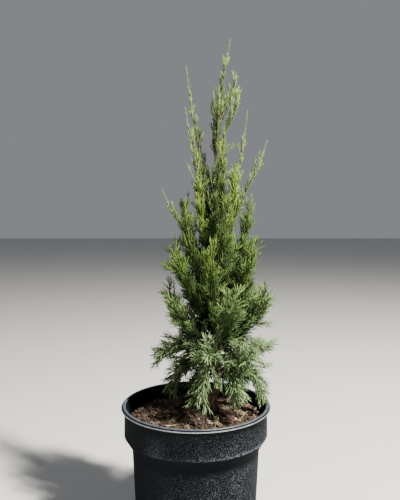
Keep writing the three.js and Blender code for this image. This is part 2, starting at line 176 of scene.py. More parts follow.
def group_with(name, inputs, outputs):
    """An empty shader group with named sockets, and its input and output nodes."""
    group = bpy.data.node_groups.new(name, "ShaderNodeTree")
    for label, kind, value in inputs:
        socket = group.interface.new_socket(label, in_out="INPUT", socket_type=kind)
        socket.default_value = value
    for label, kind in outputs:
        group.interface.new_socket(label, in_out="OUTPUT", socket_type=kind)
    return group, group.nodes.new("NodeGroupInput"), group.nodes.new("NodeGroupOutput")


def worked_out(tree, operation, first, second, clamp=False):
    """A maths node on two sources, or on a source and a number."""
    node = tree.nodes.new("ShaderNodeMath")
    node.operation = operation
    node.use_clamp = clamp
    tree.links.new(first, node.inputs[0])
    if isinstance(second, float):
        node.inputs[1].default_value = second
    else:
        tree.links.new(second, node.inputs[1])
    return node.outputs[0]


def noise_on(tree, place, scale, detail, roughness):
    """Noise at a place, with its scale from a source."""
    node = tree.nodes.new("ShaderNodeTexNoise")
    node.inputs["Detail"].default_value = detail
    node.inputs["Roughness"].default_value = roughness
    tree.links.new(place, node.inputs["Vector"])
    tree.links.new(scale, node.inputs["Scale"])
    return node.outputs["Fac"]


print("helpers:", group_with.__name__, worked_out.__name__, noise_on.__name__)

# %% Node groups


def make_grain_group():
    """Noise on Object coordinates, stretched along Z, from 0 to 1."""
    floats = [("Scale", "NodeSocketFloat", 400.0), ("Stretch", "NodeSocketFloat", 1.0)]
    group, start, end = group_with("grain", floats, [("Mask", "NodeSocketFloat")])
    place = group.nodes.new("ShaderNodeTexCoord")
    scale = group.nodes.new("ShaderNodeCombineXYZ")
    scale.inputs[0].default_value = 1
    scale.inputs[1].default_value = 1
    stretched = group.nodes.new("ShaderNodeVectorMath")
    stretched.operation = "MULTIPLY"
    group.links.new(start.outputs["Stretch"], scale.inputs[2])
    group.links.new(place.outputs["Object"], stretched.inputs[0])
    group.links.new(scale.outputs[0], stretched.inputs[1])
    mask = noise_on(group, stretched.outputs[0], start.outputs["Scale"], 3, 0.6)
    group.links.new(mask, end.inputs["Mask"])
    return group


def make_dust_group():
    """A colour with specks of another where fine noise passes a limit."""
    sockets = [
        ("Color", "NodeSocketColor", (0.03, 0.03, 0.03, 1)),
        ("Dust_and_highlight", "NodeSocketColor", (0.3, 0.3, 0.3, 1)),
        ("Scale", "NodeSocketFloat", 900.0),
        ("Limit", "NodeSocketFloat", 0.62),
        ("Amount", "NodeSocketFloat", 0.5),
    ]
    group, start, end = group_with("dust", sockets, [("Color", "NodeSocketColor")])
    place = group.nodes.new("ShaderNodeTexCoord")
    pattern = noise_on(group, place.outputs["Object"], start.outputs["Scale"], 2, 0.5)
    over = worked_out(group, "SUBTRACT", pattern, start.outputs["Limit"])
    sharp = worked_out(group, "MULTIPLY", over, 12.0, clamp=True)
    share = worked_out(group, "MULTIPLY", sharp, start.outputs["Amount"])
    mix_node = group.nodes.new("ShaderNodeMix")
    mix_node.data_type = "RGBA"
    group.links.new(share, mix_node.inputs["Factor"])
    group.links.new(start.outputs["Color"], mix_node.inputs[6])
    group.links.new(start.outputs["Dust_and_highlight"], mix_node.inputs[7])
    group.links.new(mix_node.outputs[2], end.inputs["Color"])
    return group


GRAIN = make_grain_group()
DUST_AND_PAINTED_LIGHT = make_dust_group()
print("groups:", GRAIN.name, DUST_AND_PAINTED_LIGHT.name)

# %% [markdown]
# A finish is then a short recipe: a ramp of colours over the grain and a bump from the same grain,
# so that colour and relief belong together.

# %% A finish from its recipe


def new_finish(name, roughness, specular=0.5):
    """A material and its Principled shader."""
    material = bpy.data.materials.new(name)
    material.use_nodes = True
    shader = material.node_tree.nodes["Principled BSDF"]
    shader.inputs["Roughness"].default_value = roughness
    shader.inputs["Specular IOR Level"].default_value = specular
    return material, shader


def grain_node(tree, scale, stretch=1.0):
    """The grain group, placed with its values."""
    node = tree.nodes.new("ShaderNodeGroup")
    node.node_tree = GRAIN
    node.inputs["Scale"].default_value = scale
    node.inputs["Stretch"].default_value = stretch
    return node


def ramp_node(tree, colors):
    """A colour ramp of (place, (r, g, b)) stops."""
    ramp = tree.nodes.new("ShaderNodeValToRGB")
    stops = ramp.color_ramp.elements
    while len(stops) < len(colors):
        stops.new(0.5)
    for stop, (place, color) in zip(stops, colors):
        stop.position = place
        stop.color = (*color, 1)
    return ramp


def add_bump(tree, shader, source, strength, distance):
    """Relief from a height; distance is its depth in metres."""
    bump = tree.nodes.new("ShaderNodeBump")
    bump.inputs["Strength"].default_value = strength
    bump.inputs["Distance"].default_value = distance
    tree.links.new(source, bump.inputs["Height"])
    tree.links.new(bump.outputs[0], shader.inputs["Normal"])


def grained(name, colors, scale, stretch, roughness, bump, specular=0.5):
    """A finish whose colour follows its grain; bump is its depth in millimetres."""
    material, shader = new_finish(name, roughness, specular)
    tree = material.node_tree
    grain = grain_node(tree, scale, stretch)
    ramp = ramp_node(tree, colors)
    tree.links.new(grain.outputs["Mask"], ramp.inputs[0])
    tree.links.new(ramp.outputs[0], shader.inputs["Base Color"])
    add_bump(tree, shader, grain.outputs["Mask"], 1.0, bump * MM)
    return material


print("a finish takes its colours, grain, roughness and bump")

# %% [markdown]
# The pot is black polypropylene with a fine leathery grain. Watering has left it dusty: pale specks
# lie on it, more of them on the right-hand side, where they also stand for painted sunlight. A
# pale speckled line along the collar's lower edge and a soft pale patch on the left of the collar
# are painted highlights, and the bands just under the rim and under the collar are kept free of
# specks as painted shade. The top of the rim's roll has a bluish grey painted highlight, and its
# thin lip a pale painted highlight. The group for dust and painted light does the specks, and the
# rim and the lip simply have their own, lighter materials.

# %% Pot finishes
POT_HEIGHT = 245
COLLAR_EDGE = 196.5  # height of the collar's lower edge
# centre of the painted highlight patch on the left of the collar
HIGHLIGHT_PATCH_CENTRE = (-0.06, -0.1, 0.202)  # in metres


def ranged(tree, source, low, high, to_low, to_high):
    """source brought from low..high to to_low..to_high, and clamped."""
    node = tree.nodes.new("ShaderNodeMapRange")
    for label, value in zip(("From Min", "From Max", "To Min", "To Max"), (low, high, to_low, to_high)):
        node.inputs[label].default_value = value
    tree.links.new(source, node.inputs["Value"])
    return node.outputs[0]


pot_black, shader = new_finish("pot_black", 0.55, 0.006)
tree = pot_black.node_tree
place = tree.nodes.new("ShaderNodeTexCoord").outputs["Object"]
split = tree.nodes.new("ShaderNodeSeparateXYZ")
tree.links.new(place, split.inputs[0])
# more specks towards the right: dust, and there also painted sunlight on the pot's sunny side
sunny = ranged(tree, split.outputs["X"], -0.08, 0.12, 0.04, 1.0)


def by_height(low, high, to_low, to_high):
    """A value that runs from to_low to to_high between two heights in millimetres."""
    return ranged(tree, split.outputs["Z"], low * MM, high * MM, to_low, to_high)


# painted highlight: a pale speckled line along the collar's lower edge, on the sunny side
under_line = by_height(COLLAR_EDGE, COLLAR_EDGE + 2, 0.0, 1.0)
over_line = by_height(COLLAR_EDGE + 2, COLLAR_EDGE + 6.5, 0.55, 0.0)
edge = worked_out(tree, "MULTIPLY", worked_out(tree, "MULTIPLY", under_line, over_line), sunny)

# painted highlight: a soft pale patch on the left of the collar; and clouds of dust on the sunny side, which
# there also stand for painted sunlight
distance = tree.nodes.new("ShaderNodeVectorMath")
distance.operation = "DISTANCE"
distance.inputs[1].default_value = HIGHLIGHT_PATCH_CENTRE
tree.links.new(place, distance.inputs[0])
painted_highlight_patch = ranged(tree, distance.outputs["Value"], 0.004, 0.032, 0.16, 0.0)
dust_and_painted_sunlight = worked_out(tree, "MULTIPLY", sunny, grain_node(tree, 14).outputs["Mask"])

# painted shade: no specks just under the rim and under the collar, so these bands stay dark as in their cast
# shadows
below_painted_collar_shade = by_height(166, 176, 1.0, 0.0)
collar_out_of_painted_shade = by_height(COLLAR_EDGE - 1, COLLAR_EDGE + 0.5, 0.0, 1.0)
below_painted_rim_shade = by_height(POT_HEIGHT - 15, POT_HEIGHT - 8, 1.0, 0.0)
collar_out_of_painted_shade = worked_out(tree, "MULTIPLY", collar_out_of_painted_shade, below_painted_rim_shade)
outside_painted_shade = worked_out(tree, "MAXIMUM", below_painted_collar_shade, collar_out_of_painted_shade)

amount = worked_out(tree, "ADD", worked_out(tree, "ADD", dust_and_painted_sunlight, edge), painted_highlight_patch)
amount = worked_out(tree, "MULTIPLY", amount, outside_painted_shade)
# the painted highlights lower the limit, so that pale specks crowd there
limit = ranged(tree, edge, 0.0, 1.0, 0.55, 0.45)
limit = worked_out(tree, "SUBTRACT", limit, worked_out(tree, "MULTIPLY", painted_highlight_patch, 0.4))
# dust specks, and with them the painted highlights, in one pale colour over the black plastic
dust = tree.nodes.new("ShaderNodeGroup")
dust.node_tree = DUST_AND_PAINTED_LIGHT
dust.inputs["Color"].default_value = (0.0052, 0.0063, 0.0078, 1)
dust.inputs["Dust_and_highlight"].default_value = (0.225, 0.25, 0.29, 1)
dust.inputs["Scale"].default_value = 760
tree.links.new(limit, dust.inputs["Limit"])
tree.links.new(amount, dust.inputs["Amount"])
tree.links.new(dust.outputs["Color"], shader.inputs["Base Color"])
add_bump(tree, shader, grain_node(tree, 620).outputs["Mask"], 0.8, 0.25 * MM)

# painted highlight: a lighter bluish grey for the top of the rim's roll, where light catches it
RIM_HIGHLIGHT_GREYS = [(0.36, (0.018, 0.022, 0.029)), (0.68, (0.084, 0.095, 0.112))]
# painted highlight: a pale grey for the rim's thin lip, where light catches its edge
LIP_HIGHLIGHT_GREYS = [(0.3, (0.06, 0.066, 0.078)), (0.7, (0.19, 0.2, 0.215))]
rim_painted_highlight = grained("rim_painted_highlight", RIM_HIGHLIGHT_GREYS, 420, 1.0, 0.45, 0.15, 0.25)
lip_painted_highlight = grained("lip_painted_highlight", LIP_HIGHLIGHT_GREYS, 160, 1.0, 0.5, 0.1)
print("finishes:", pot_black.name, rim_painted_highlight.name, lip_painted_highlight.name)

# %% [markdown]
# ## The pot
# A nursery pot is one thin moulded shell: a tapering body, a wider collar that lets pots stack, and
# a rolled rim to carry it by. Any round moulding is a profile turned about its axis, so the profile
# is drawn once, inside and outside, and spun. The rim's roll is an arc of points. The drains are cut
# where shell and floor meet.

# %% Pot profile
COLLAR_RADIUS = 119.5
RIM_RADIUS = 125
BODY_RADIUS = 106
HEEL_RADIUS = 95
SHELL = 2
FLOOR = 2.5
FLANGE = POT_HEIGHT - 4.8
SPIN_STEPS = 128


def arc(center, radius, start, end, count):
    """Points of an arc from start to end degrees."""
    turns = np.radians(np.linspace(start, end, count))
    return [(center[0] + radius * math.cos(t), center[1] + radius * math.sin(t)) for t in turns]


inner = COLLAR_RADIUS - SHELL
profile = [
    (0, 0),
    (92, 0),
    *arc((92, 3), 3, -70, -10, 3),
    (BODY_RADIUS, COLLAR_EDGE - 18.5),
    (COLLAR_RADIUS - 1.2, COLLAR_EDGE),
    *arc((COLLAR_RADIUS - 1.2, COLLAR_EDGE + 1.9), 1.2, -50, 0, 3),
    (COLLAR_RADIUS, FLANGE),
    (RIM_RADIUS - 1, FLANGE),
    *arc((RIM_RADIUS - 1, FLANGE + 1), 1, -80, 80, 6),
    (RIM_RADIUS - 2.6, FLANGE + 2.4),
    *arc((RIM_RADIUS - 4.4, POT_HEIGHT - 2), 2, 0, 90, 6),
    *arc((inner + 1.5, POT_HEIGHT - 1.8), 1.5, 100, 180, 4),
    (inner, COLLAR_EDGE + 0.5),
    (BODY_RADIUS - SHELL, COLLAR_EDGE - 19.5),
    (HEEL_RADIUS - SHELL, 5.5),
    (90, FLOOR),
    (0, FLOOR),
]
print(len(profile), "profile points")

# %% Spin the pot


def new_object(name, mesh, material, smooth=True):
    """An object for a mesh, with one material."""
    piece = bpy.data.objects.new(name, mesh)
    bpy.context.scene.collection.objects.link(piece)
    mesh.materials.append(material)
    if smooth:
        mesh.shade_smooth()
    return piece


def spun(points):
    """A closed shell, in metres, from a profile of (radius, height) in millimetres."""
    shell = bmesh.new()
    corners = [shell.verts.new((radius * MM, 0, height * MM)) for radius, height in points]
    edges = [shell.edges.new(pair) for pair in zip(corners, corners[1:])]
    bmesh.ops.spin(
        shell,
        geom=corners + edges,
        axis=(0, 0, 1),
        cent=(0, 0, 0),
        angle=2 * math.pi,
        steps=SPIN_STEPS,
        use_merge=True,
    )
    bmesh.ops.remove_doubles(shell, verts=shell.verts, dist=1e-6)
    bmesh.ops.recalc_face_normals(shell, faces=shell.faces)
    return shell


def finish_mesh(shell, name):
    """The mesh of a bmesh, which is then let go."""
    mesh = bpy.data.meshes.new(name)
    shell.to_mesh(mesh)
    shell.free()
    return mesh


pot = new_object("nursery_pot", finish_mesh(spun(profile), "nursery_pot"), pot_black)
pot.data.materials.append(rim_painted_highlight)
pot.data.materials.append(lip_painted_highlight)
for face in pot.data.polygons:
    height, radius = face.center.z / MM, face.center.xy.length / MM
    # painted highlight: the thin lip band takes the pale material
    painted_lip_band = FLANGE + 0.2 < height < FLANGE + 2.2 and radius > RIM_RADIUS - 1.4
    # painted highlight: the top of the roll takes the lighter rim material
    painted_roll_top = height > POT_HEIGHT - 1.6 and radius > inner + 0.1
    face.material_index = 2 if painted_lip_band else 1 if painted_roll_top else 0
print("pot has", len(pot.data.polygons), "faces")

# %% [markdown]
# The drains are eight slots at the foot of the shell. A Boolean takes them out in one go: the eight
# cutters are one mesh, and the modifier is made real, so nothing live is left on the pot.

# %% Cut the drains
cutters = bmesh.new()
DRAINS = 8
for i in range(DRAINS):
    turn = 2 * math.pi * (i + 0.5) / DRAINS
    made = bmesh.ops.create_cube(cutters, size=1)["verts"]
    bmesh.ops.scale(cutters, verts=made, vec=(14 * MM, 13 * MM, 9 * MM))
    bmesh.ops.translate(cutters, verts=made, vec=(0, (HEEL_RADIUS - 1) * MM, 3 * MM))
    bmesh.ops.rotate(cutters, verts=made, cent=(0, 0, 0), matrix=Matrix.Rotation(turn, 3, "Z"))
cutter = new_object("drain_cutters", finish_mesh(cutters, "drain_cutters"), pot_black, smooth=False)
cut = pot.modifiers.new("drains", "BOOLEAN")
cut.operation = "DIFFERENCE"
cut.object = cutter
cut.solver = "EXACT"
evaluated = pot.evaluated_get(bpy.context.evaluated_depsgraph_get())
with_drains = bpy.data.meshes.new_from_object(evaluated)
pot.modifiers.clear()
pot.data = with_drains
bpy.data.objects.remove(cutter)
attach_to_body(pot, "root")
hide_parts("pot")
print("pot with drains:", len(pot.data.polygons), "faces")

# %% [markdown]
# ## The soil
# The pot holds a bark mix that is mounded towards the trunk. Its body is one more spun profile, half
# a millimetre inside the pot. Then its top is roughened: each corner of the surface is moved up or
# down by noise, and the mound's crest is drawn over to the trunk's foot, which stands off centre.
# That gives the shadows between the lumps, but not the loose look, so chips are strewn over it in
# the next step.

# %% Soil body
SOIL_EDGE = POT_HEIGHT - 32
GROUND = POT_HEIGHT - 10
FOOT = np.array((21, 20))
SOIL_RADIUS = COLLAR_RADIUS - SHELL - 0.45
CREST = 14.04


def mix(a, b, share):
    """The value that lies at a share of the way from a to b."""
    return a + (b - a) * share


def surface_height(share):
    """Height of the mound at a share of the way from the pot to the trunk."""
    low = SOIL_EDGE + 0.35 * (GROUND - SOIL_EDGE)
    return low + (GROUND - low) * (1 - (1 - share) ** 1.6)


soil_profile = [(0, 2.8), (89.5, 2.8), (92.5, 5.8), (103.5, 177.3), (SOIL_RADIUS, 197.3)]
soil_profile.append((SOIL_RADIUS, SOIL_EDGE))
for i in range(1, 5):
    lift = surface_height(0) - SOIL_EDGE
    soil_profile.append((SOIL_RADIUS * (1 - 0.025 * i), SOIL_EDGE + lift * (i / 4) ** 0.6))
for share in np.linspace(0.03, 1, 44):
    soil_profile.append((mix(0.9 * SOIL_RADIUS, CREST, share), surface_height(share)))
soil_profile.append((0, GROUND))

shell = spun(soil_profile)
for corner in shell.verts:
    x, y, z = corner.co / MM
    if z <= SOIL_EDGE + 0.01:
        continue
    radius = math.hypot(x, y)
    share = min(1, max(0, 1 - (radius - CREST) / (SOIL_RADIUS - CREST)))
    spot = Vector((x, y, 0))
    relief = sum(deep * noise.noise(spot * fine) for deep, fine in ((3.2, 0.045), (2.2, 0.14), (1.1, 0.5)))
    near_pot = min(1, (SOIL_RADIUS - radius) / 6)
    corner.co += Vector((share * FOOT[0], share * FOOT[1], relief * near_pot)) * MM
print("soil surface of", len(shell.verts), "points")

# %% Soil finish and body
SOIL_BROWNS = [(0.3, (0.007, 0.0042, 0.0028)), (0.55, (0.028, 0.0175, 0.0112)), (0.75, (0.075, 0.05, 0.033))]
soil_brown = grained("soil_brown", SOIL_BROWNS, 260, 1.0, 0.95, 1.2, 0.2)
soil = new_object("soil_body", finish_mesh(shell, "soil_body"), soil_brown)
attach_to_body(soil, "root")
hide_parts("soil")
soil_points = [corner.co.copy() for corner in soil.data.vertices]
soil_tree = BVHTree.FromPolygons(soil_points, [tuple(face.vertices) for face in soil.data.polygons])


def soil_height(x, y):
    """Height of the soil's surface at a place."""
    return soil_tree.ray_cast(Vector((x * MM, y * MM, 1)), Vector((0, 0, -1)))[0].z / MM


print("soil body:", len(soil.data.polygons), "faces,", round(soil_height(*FOOT)), "mm high at the trunk")

# %% [markdown]
# Bark chips are flat splinters with blunt edges. A few chips are modelled from a cube: its corners
# are jittered and its edges bevelled. Copies are then turned, scaled and dropped onto the surface.
# With thousands of small copies it is quicker to move whole arrays of points than to call an
# operator for each, and joining them by colour keeps the scene to a handful of pieces.

# %% Chip shapes
chance = np.random.default_rng(41)


def arrays_of(shape):
    """The points and triangles of a bmesh."""
    bmesh.ops.triangulate(shape, faces=shape.faces)
    shape.verts.ensure_lookup_table()
    points = np.array([corner.co[:] for corner in shape.verts])
    faces = np.array([[corner.index for corner in face.verts] for face in shape.faces])
    shape.free()
    return points, faces


def make_chip():
    """A blunt splinter about one unit across."""
    chip = bmesh.new()
    bmesh.ops.create_cube(chip, size=1)
    for corner in chip.verts:
        corner.co += Vector(chance.uniform(-0.2, 0.2, 3))
    bmesh.ops.bevel(
        chip, geom=chip.edges[:], offset=0.14, offset_type="OFFSET", affect="EDGES", segments=1,
        profile=0.5, material=-1,
    )
    chip.verts.index_update()
    return arrays_of(chip)


chip_shapes = [make_chip() for _ in range(6)]
print("chip of", len(chip_shapes[0][1]), "triangles")

# %% Joining copies


def turned_about(axis, angles):
    """Rotation matrices about one axis: 0 for X, 2 for Z."""
    first, second = (i for i in range(3) if i != axis)
    turns = np.zeros((len(angles), 3, 3))
    turns[:, axis, axis] = 1
    turns[:, first, first] = turns[:, second, second] = np.cos(angles)
    turns[:, second, first] = np.sin(angles)
    turns[:, first, second] = -np.sin(angles)
    return turns


def turns_from(tilt, turn, roll):
    """Rotation matrices that roll a copy, tilt it and turn it about Z."""
    return turned_about(2, turn) @ turned_about(0, tilt) @ turned_about(2, roll)


def joined(copies, triangles):
    """One array of points and one of triangles from copies of a shape (copies, points, 3)."""
    shifts = np.arange(len(copies)) * copies.shape[1]
    return copies.reshape(-1, 3), (triangles[None] + shifts[:, None, None]).reshape(-1, 3)


def piece_from(name, groups, material, nodes, smooth=True):
    """One piece, in metres, from (points, triangles) groups in millimetres."""
    shifts = np.cumsum([0] + [len(points) for points, _ in groups[:-1]])
    points = np.concatenate([points for points, _ in groups]) * MM
    faces = np.concatenate([faces + shift for (_, faces), shift in zip(groups, shifts)])
    mesh = bpy.data.meshes.new(name)
    mesh.from_pydata(points, [], faces)
    piece = new_object(name, mesh, material, smooth)
    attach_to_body(piece, "root")
    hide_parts(*nodes)
    return len(faces)


print("copies of a shape are joined in one go")

# %% Strew the chips
CHIP_FINISHES = [
    ("chips_dark", ((0.009, 0.0058, 0.0037), (0.04, 0.025, 0.0165)), 1000),
    ("chips_brown", ((0.032, 0.02, 0.013), (0.095, 0.06, 0.04)), 800),
    ("chips_tan", ((0.075, 0.05, 0.034), (0.2, 0.142, 0.095)), 260),
    ("chips_rose", ((0.055, 0.033, 0.025), (0.13, 0.084, 0.066)), 200),
    ("chips_straw", ((0.2, 0.17, 0.1), (0.4, 0.35, 0.22)), 60),
]
for name, (dark, light), count in CHIP_FINISHES:
    material = grained(name, [(0.3, dark), (0.7, light)], 500, 1.0, 0.85, 0.3, 0.25)
    radius = (SOIL_RADIUS - 4) * np.sqrt(chance.random(count))
    around = chance.uniform(0, 2 * math.pi, count)
    length = chance.uniform(3, 6.5, count) * (1 + 1.1 * chance.random(count) ** 4)
    sizes = np.stack([length, length * chance.uniform(0.35, 0.7, count), chance.uniform(1, 2.4, count)], 1)
    places = zip(radius * np.cos(around), radius * np.sin(around))
    spots = np.array([(x, y, soil_height(x, y) + 0.5) for x, y in places])
    tilt, turn = chance.normal(0, 0.42, count), chance.uniform(0, 6.28, count)
    turned = turns_from(tilt, turn, chance.uniform(-3, 3, count))
    groups = []
    for kind, (points, faces) in enumerate(chip_shapes):
        mine = np.arange(count) % len(chip_shapes) == kind
        local = points[None] * sizes[mine][:, None]
        copies = np.einsum("nij,npj->npi", turned[mine], local) + spots[mine][:, None]
        groups.append(joined(copies, faces))
    made = piece_from(name, groups, material, ["soil"], smooth=False)
    print(name, count, "chips,", made, "triangles")

# %% [markdown]
# Between the splinters lie rounder clods of fibre, some of them a centimetre across. A clod is a
# ball whose corners are pushed in and out by noise; three models are enough, because each copy is
# turned and stretched in its own way.

# %% Strew the clods


def make_clod(seed):
    """A lumpy ball about one unit across."""
    clod = bmesh.new()
    bmesh.ops.create_icosphere(clod, subdivisions=3, radius=0.5)
    for corner in clod.verts:
        spot = corner.co * 3.2 + Vector((seed, 0, 0))
        corner.co *= 1 + 0.5 * noise.noise(spot) + 0.28 * noise.noise(spot * 3)
    clod.verts.index_update()
    return arrays_of(clod)


clod_shapes = [make_clod(seed) for seed in (0, 7, 19)]
CLOD_FINISHES = [
    ("clods_dark", ((0.012, 0.008, 0.005), (0.07, 0.047, 0.031)), 70),
    ("clods_tan", ((0.028, 0.02, 0.012), (0.2, 0.155, 0.097)), 60),
]
for name, (dark, light), count in CLOD_FINISHES:
    material = grained(name, [(0.35, dark), (0.66, light)], 420, 1.0, 0.9, 0.8, 0.25)
    groups = []
    for i in range(count):
        radius, around = (SOIL_RADIUS - 8) * math.sqrt(chance.random()), chance.uniform(0, 2 * math.pi)
        x, y = radius * math.cos(around), radius * math.sin(around)
        points, faces = clod_shapes[i % len(clod_shapes)]
        size = chance.uniform(5, 9) * (1 + 0.7 * chance.random() ** 3)
        turned = turns_from(*(chance.uniform(0, 6.28, 1) for _ in range(3)))[0]
        lump = points @ turned.T * size * (1, 1, 0.7)
        groups.append((lump + (x, y, soil_height(x, y) + 0.12 * size), faces))
    made = piece_from(name, groups, material, ["soil"])
    print(name, count, "clods,", made, "triangles")

# %% [markdown]
# ## Trunk and boughs
# A trunk is a tube that follows a curve and tapers. The curve and the taper are those of the packed
# model. The tube itself is a grid whose columns are wrapped round the curve and whose seam is then
# merged. That way every corner knows its height and its angle, and the bark can be pushed in and
# out there: juniper bark peels in long thin strips, so the noise is stretched along the trunk.

# %% The trunk's curve
TRUNK_TOP = POT_HEIGHT + 395
ASKEW = np.array((0.3, -0.2, 1.0))


def trunk_point(height):
    """The middle of the trunk at a height."""
    up = height - GROUND
    x = 33 + 11 * math.exp(-up / 180) - 23 * math.exp(-up / 26)
    y = FOOT[1] - 5 * (1 - math.exp(-up / 100))
    return np.array((x, y, height))


def trunk_radius(height, angle=0.0):
    """The trunk's radius, with a flare of three lobes at its foot."""
    up = max(0, height - GROUND)
    flare = 3.8 * math.exp(-up / 7) * (1 + 0.16 * math.cos(3 * angle))
    return mix(6.6, 1.5, up / (TRUNK_TOP - GROUND)) + flare


def unit(vectors):
    """Vectors at length 1."""
    return vectors / np.linalg.norm(vectors, axis=-1, keepdims=True)


def heading(path_at, t):
    """The way a curve runs at t."""
    return unit(path_at(t + 0.001) - path_at(t - 0.001))


def square_to(vector, way):
    """The part of a vector that is square to way, at length 1."""
    return unit(vector - np.sum(vector * way, axis=-1, keepdims=True) * way)


print("trunk is", round(trunk_radius(300) * 2, 1), "mm thick over the rim")

# %% Limbs from a wrapped grid


def add_limb(shape, path_at, radius_at, start, end, sides, steps, across=ASKEW):
    """A closed tube along a curve; radius_at(t, angle) gives its surface."""
    made = bmesh.ops.create_grid(shape, x_segments=sides, y_segments=steps, size=0.5)["verts"]
    rows = {}
    for corner in made:
        rows.setdefault(round(corner.co.y, 5), []).append(corner)
    ends = []
    for row, corners in sorted(rows.items()):
        t = start + (end - start) * (row + 0.5)
        middle, way = path_at(t), heading(path_at, t)
        side = square_to(across, way)
        other = np.cross(way, side)
        for corner in corners:
            angle = 2 * math.pi * (corner.co.x + 0.5)
            outward = side * math.cos(angle) + other * math.sin(angle)
            corner.co = Vector((middle + outward * radius_at(t, angle)) * MM)
        ends.append(corners)
    bmesh.ops.remove_doubles(shape, verts=made, dist=2e-6)
    for corners in (ends[0], ends[-1]):
        kept = [corner for corner in corners if corner.is_valid]
        rim = {edge for corner in kept for edge in corner.link_edges if edge.is_boundary}
        bmesh.ops.contextual_create(shape, geom=list(rim))


def bark_relief(place, depth):
    """How far the bark stands out at a place: long strips with cracks between them."""
    strips = noise.noise(Vector((place[0] * 0.32, place[1] * 0.32, place[2] * 0.045)))
    fine = noise.noise(Vector((place[0] * 0.9, place[1] * 0.9, place[2] * 0.13)))
    return depth * (0.75 * math.tanh(4 * strips) + 0.45 * fine)


def barky(path_at, radius_at, depth):
    """radius_at with bark on it."""

    def surface(t, angle):
        radius = radius_at(t, angle)
        place = path_at(t) + radius * np.array((math.cos(angle), math.sin(angle), 0))
        return radius + bark_relief(place, depth)

    return surface


print("a limb takes its curve, its radius, its ends and its grid")

# %% Make the trunk
RED_BROWNS = [(0.3, (0.036, 0.02, 0.013)), (0.5, (0.125, 0.073, 0.047)), (0.72, (0.38, 0.265, 0.175))]
BARK_BROWNS = [(0.3, (0.05, 0.028, 0.018)), (0.55, (0.13, 0.075, 0.045)), (0.75, (0.24, 0.16, 0.1))]
red_bark = grained("red_bark", RED_BROWNS, 420, 0.16, 0.85, 0.9, 0.3)
brown_bark = grained("brown_bark", BARK_BROWNS, 600, 0.3, 0.85, 0.5, 0.3)
trunk_shape = bmesh.new()
trunk_surface = barky(trunk_point, trunk_radius, 0.55)
add_limb(trunk_shape, trunk_point, trunk_surface, GROUND - 8, TRUNK_TOP, 30, 240, np.array((0.0, 1.0, 0.0)))
bmesh.ops.recalc_face_normals(trunk_shape, faces=trunk_shape.faces)
trunk = new_object("trunk_with_bark", finish_mesh(trunk_shape, "trunk_with_bark"), red_bark)
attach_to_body(trunk, "root")
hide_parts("trunk")
print("trunk:", len(trunk.data.polygons), "faces")

# %% [markdown]
# A few dead stalks are left in the mix. Two stand up near the front and the others lie about; each
# is a thin limb, made as the trunk is, from its foot on the soil to its tip.

# %% Dead stalks
STALKS = [
    # foot, way across the soil, rise
    ((12, -70), (-2, 1), 30), ((27, -70), (9, 2), 18), ((-64, 8), (34, 6), 4),
    ((-30, -52), (-14, -22), 5), ((70, -34), (16, 22), 6), ((-58, -44), (20, -9), 3),
    ((2, 62), (30, 12), 8), ((84, 30), (-12, 30), 6),
]
STRAWS = [(0.3, (0.1, 0.075, 0.045)), (0.7, (0.3, 0.25, 0.16))]
straw_pale = grained("straw_pale", STRAWS, 500, 0.3, 0.8, 0.2, 0.3)
stalk_shape = bmesh.new()
for (x, y), (across_x, across_y), rise in STALKS:
    foot = np.array((x, y, soil_height(x, y) - 1))
    way = np.array((across_x, across_y, rise + 1.0))
    stalk_at = lambda t, foot=foot, way=way: foot + way * np.asarray(t)[..., None]
    add_limb(stalk_shape, stalk_at, lambda t, angle: mix(0.75, 0.4, t), 0.001, 0.999, 5, 6)
bmesh.ops.recalc_face_normals(stalk_shape, faces=stalk_shape.faces)
stalks = new_object("dead_stalks", finish_mesh(stalk_shape, "dead_stalks"), straw_pale)
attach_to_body(stalks, "root")
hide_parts("soil")
print(len(STALKS), "stalks of", len(stalks.data.polygons), "faces")

# %% [markdown]
# ## How the crown grows
# The crown is a rule rather than a shape. A plume leaves the trunk, bends once and ends at its
# tip, and tiers of plumes go round the trunk from the drooping skirt to the upright spire. The
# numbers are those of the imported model, with the same seeded chance, so every plume and every twig
# comes out where the plain solids have theirs. Only then does the rule go on, to sprigs and
# branchlets that the solids are too plain to show.

# %% Tiers of plumes
CROWN_AXIS = (33, 15)
SEED, SEED_STEP = 20261, 977
GOLDEN = 137.5


def all_round(count, first):
    """Directions in degrees, evenly round the trunk."""
    return [first + 360 * i / count for i in range(count)]


COLUMNS = ("turns", "attach", "tip", "reach", "bend", "bare", "core", "twig", "lift")
TIERS = {
    # directions; heights over the rim; reach; where a plume bends; bare share; needles; twigs; lift
    "skirt": ((188, 250, 292, 338, 40, 112), 52, 12, 88, (0.6, 40), 0.24, 34, 50, -0.5),
    "low": (all_round(6, 194), 72, 90, 102, (0.6, 16), 0.22, 36, 54, -0.05),
    "middle": (all_round(6, 220), 86, 178, 93, (0.62, 28), 0, 36, 54, 0.3),
    "shoulder": (all_round(6, 205), 112, 258, 80, (0.68, 52), 0, 34, 50, 0.5),
    "upper": (all_round(5, 0), 150, 332, 62, (0.78, 72), 0, 30, 46, 0.65),
    "crown": (all_round(4, 222), 200, 398, 46, (0.85, 80), 0, 27, 40, 0.8),
    "spire": (all_round(3, 180), 270, 462, 30, (1, 60), 0, 22, 34, 0.9),
    "heart": (all_round(2, 275), 170, 390, 25, (1.2, 60), 0, 28, 34, 0.8),
}
BRANCHING = dict(taper=0.45, angle=48, spacing=50, needle=15)
WHIP = dict(bare=0, core=14, twig=34, needle=8, taper=0.5, lift=0.8, angle=24, spacing=90)
WHIPS = [
    # tip, with its height over the rim, and where the whip leaves the trunk
    ((-59, 2, 362), 236),
    ((-18, -12, 500), 318),
    ((-18, 38, 589), 352),
    ((92, 24, 502), 276),
    ((124, 4, 446), 296),
]
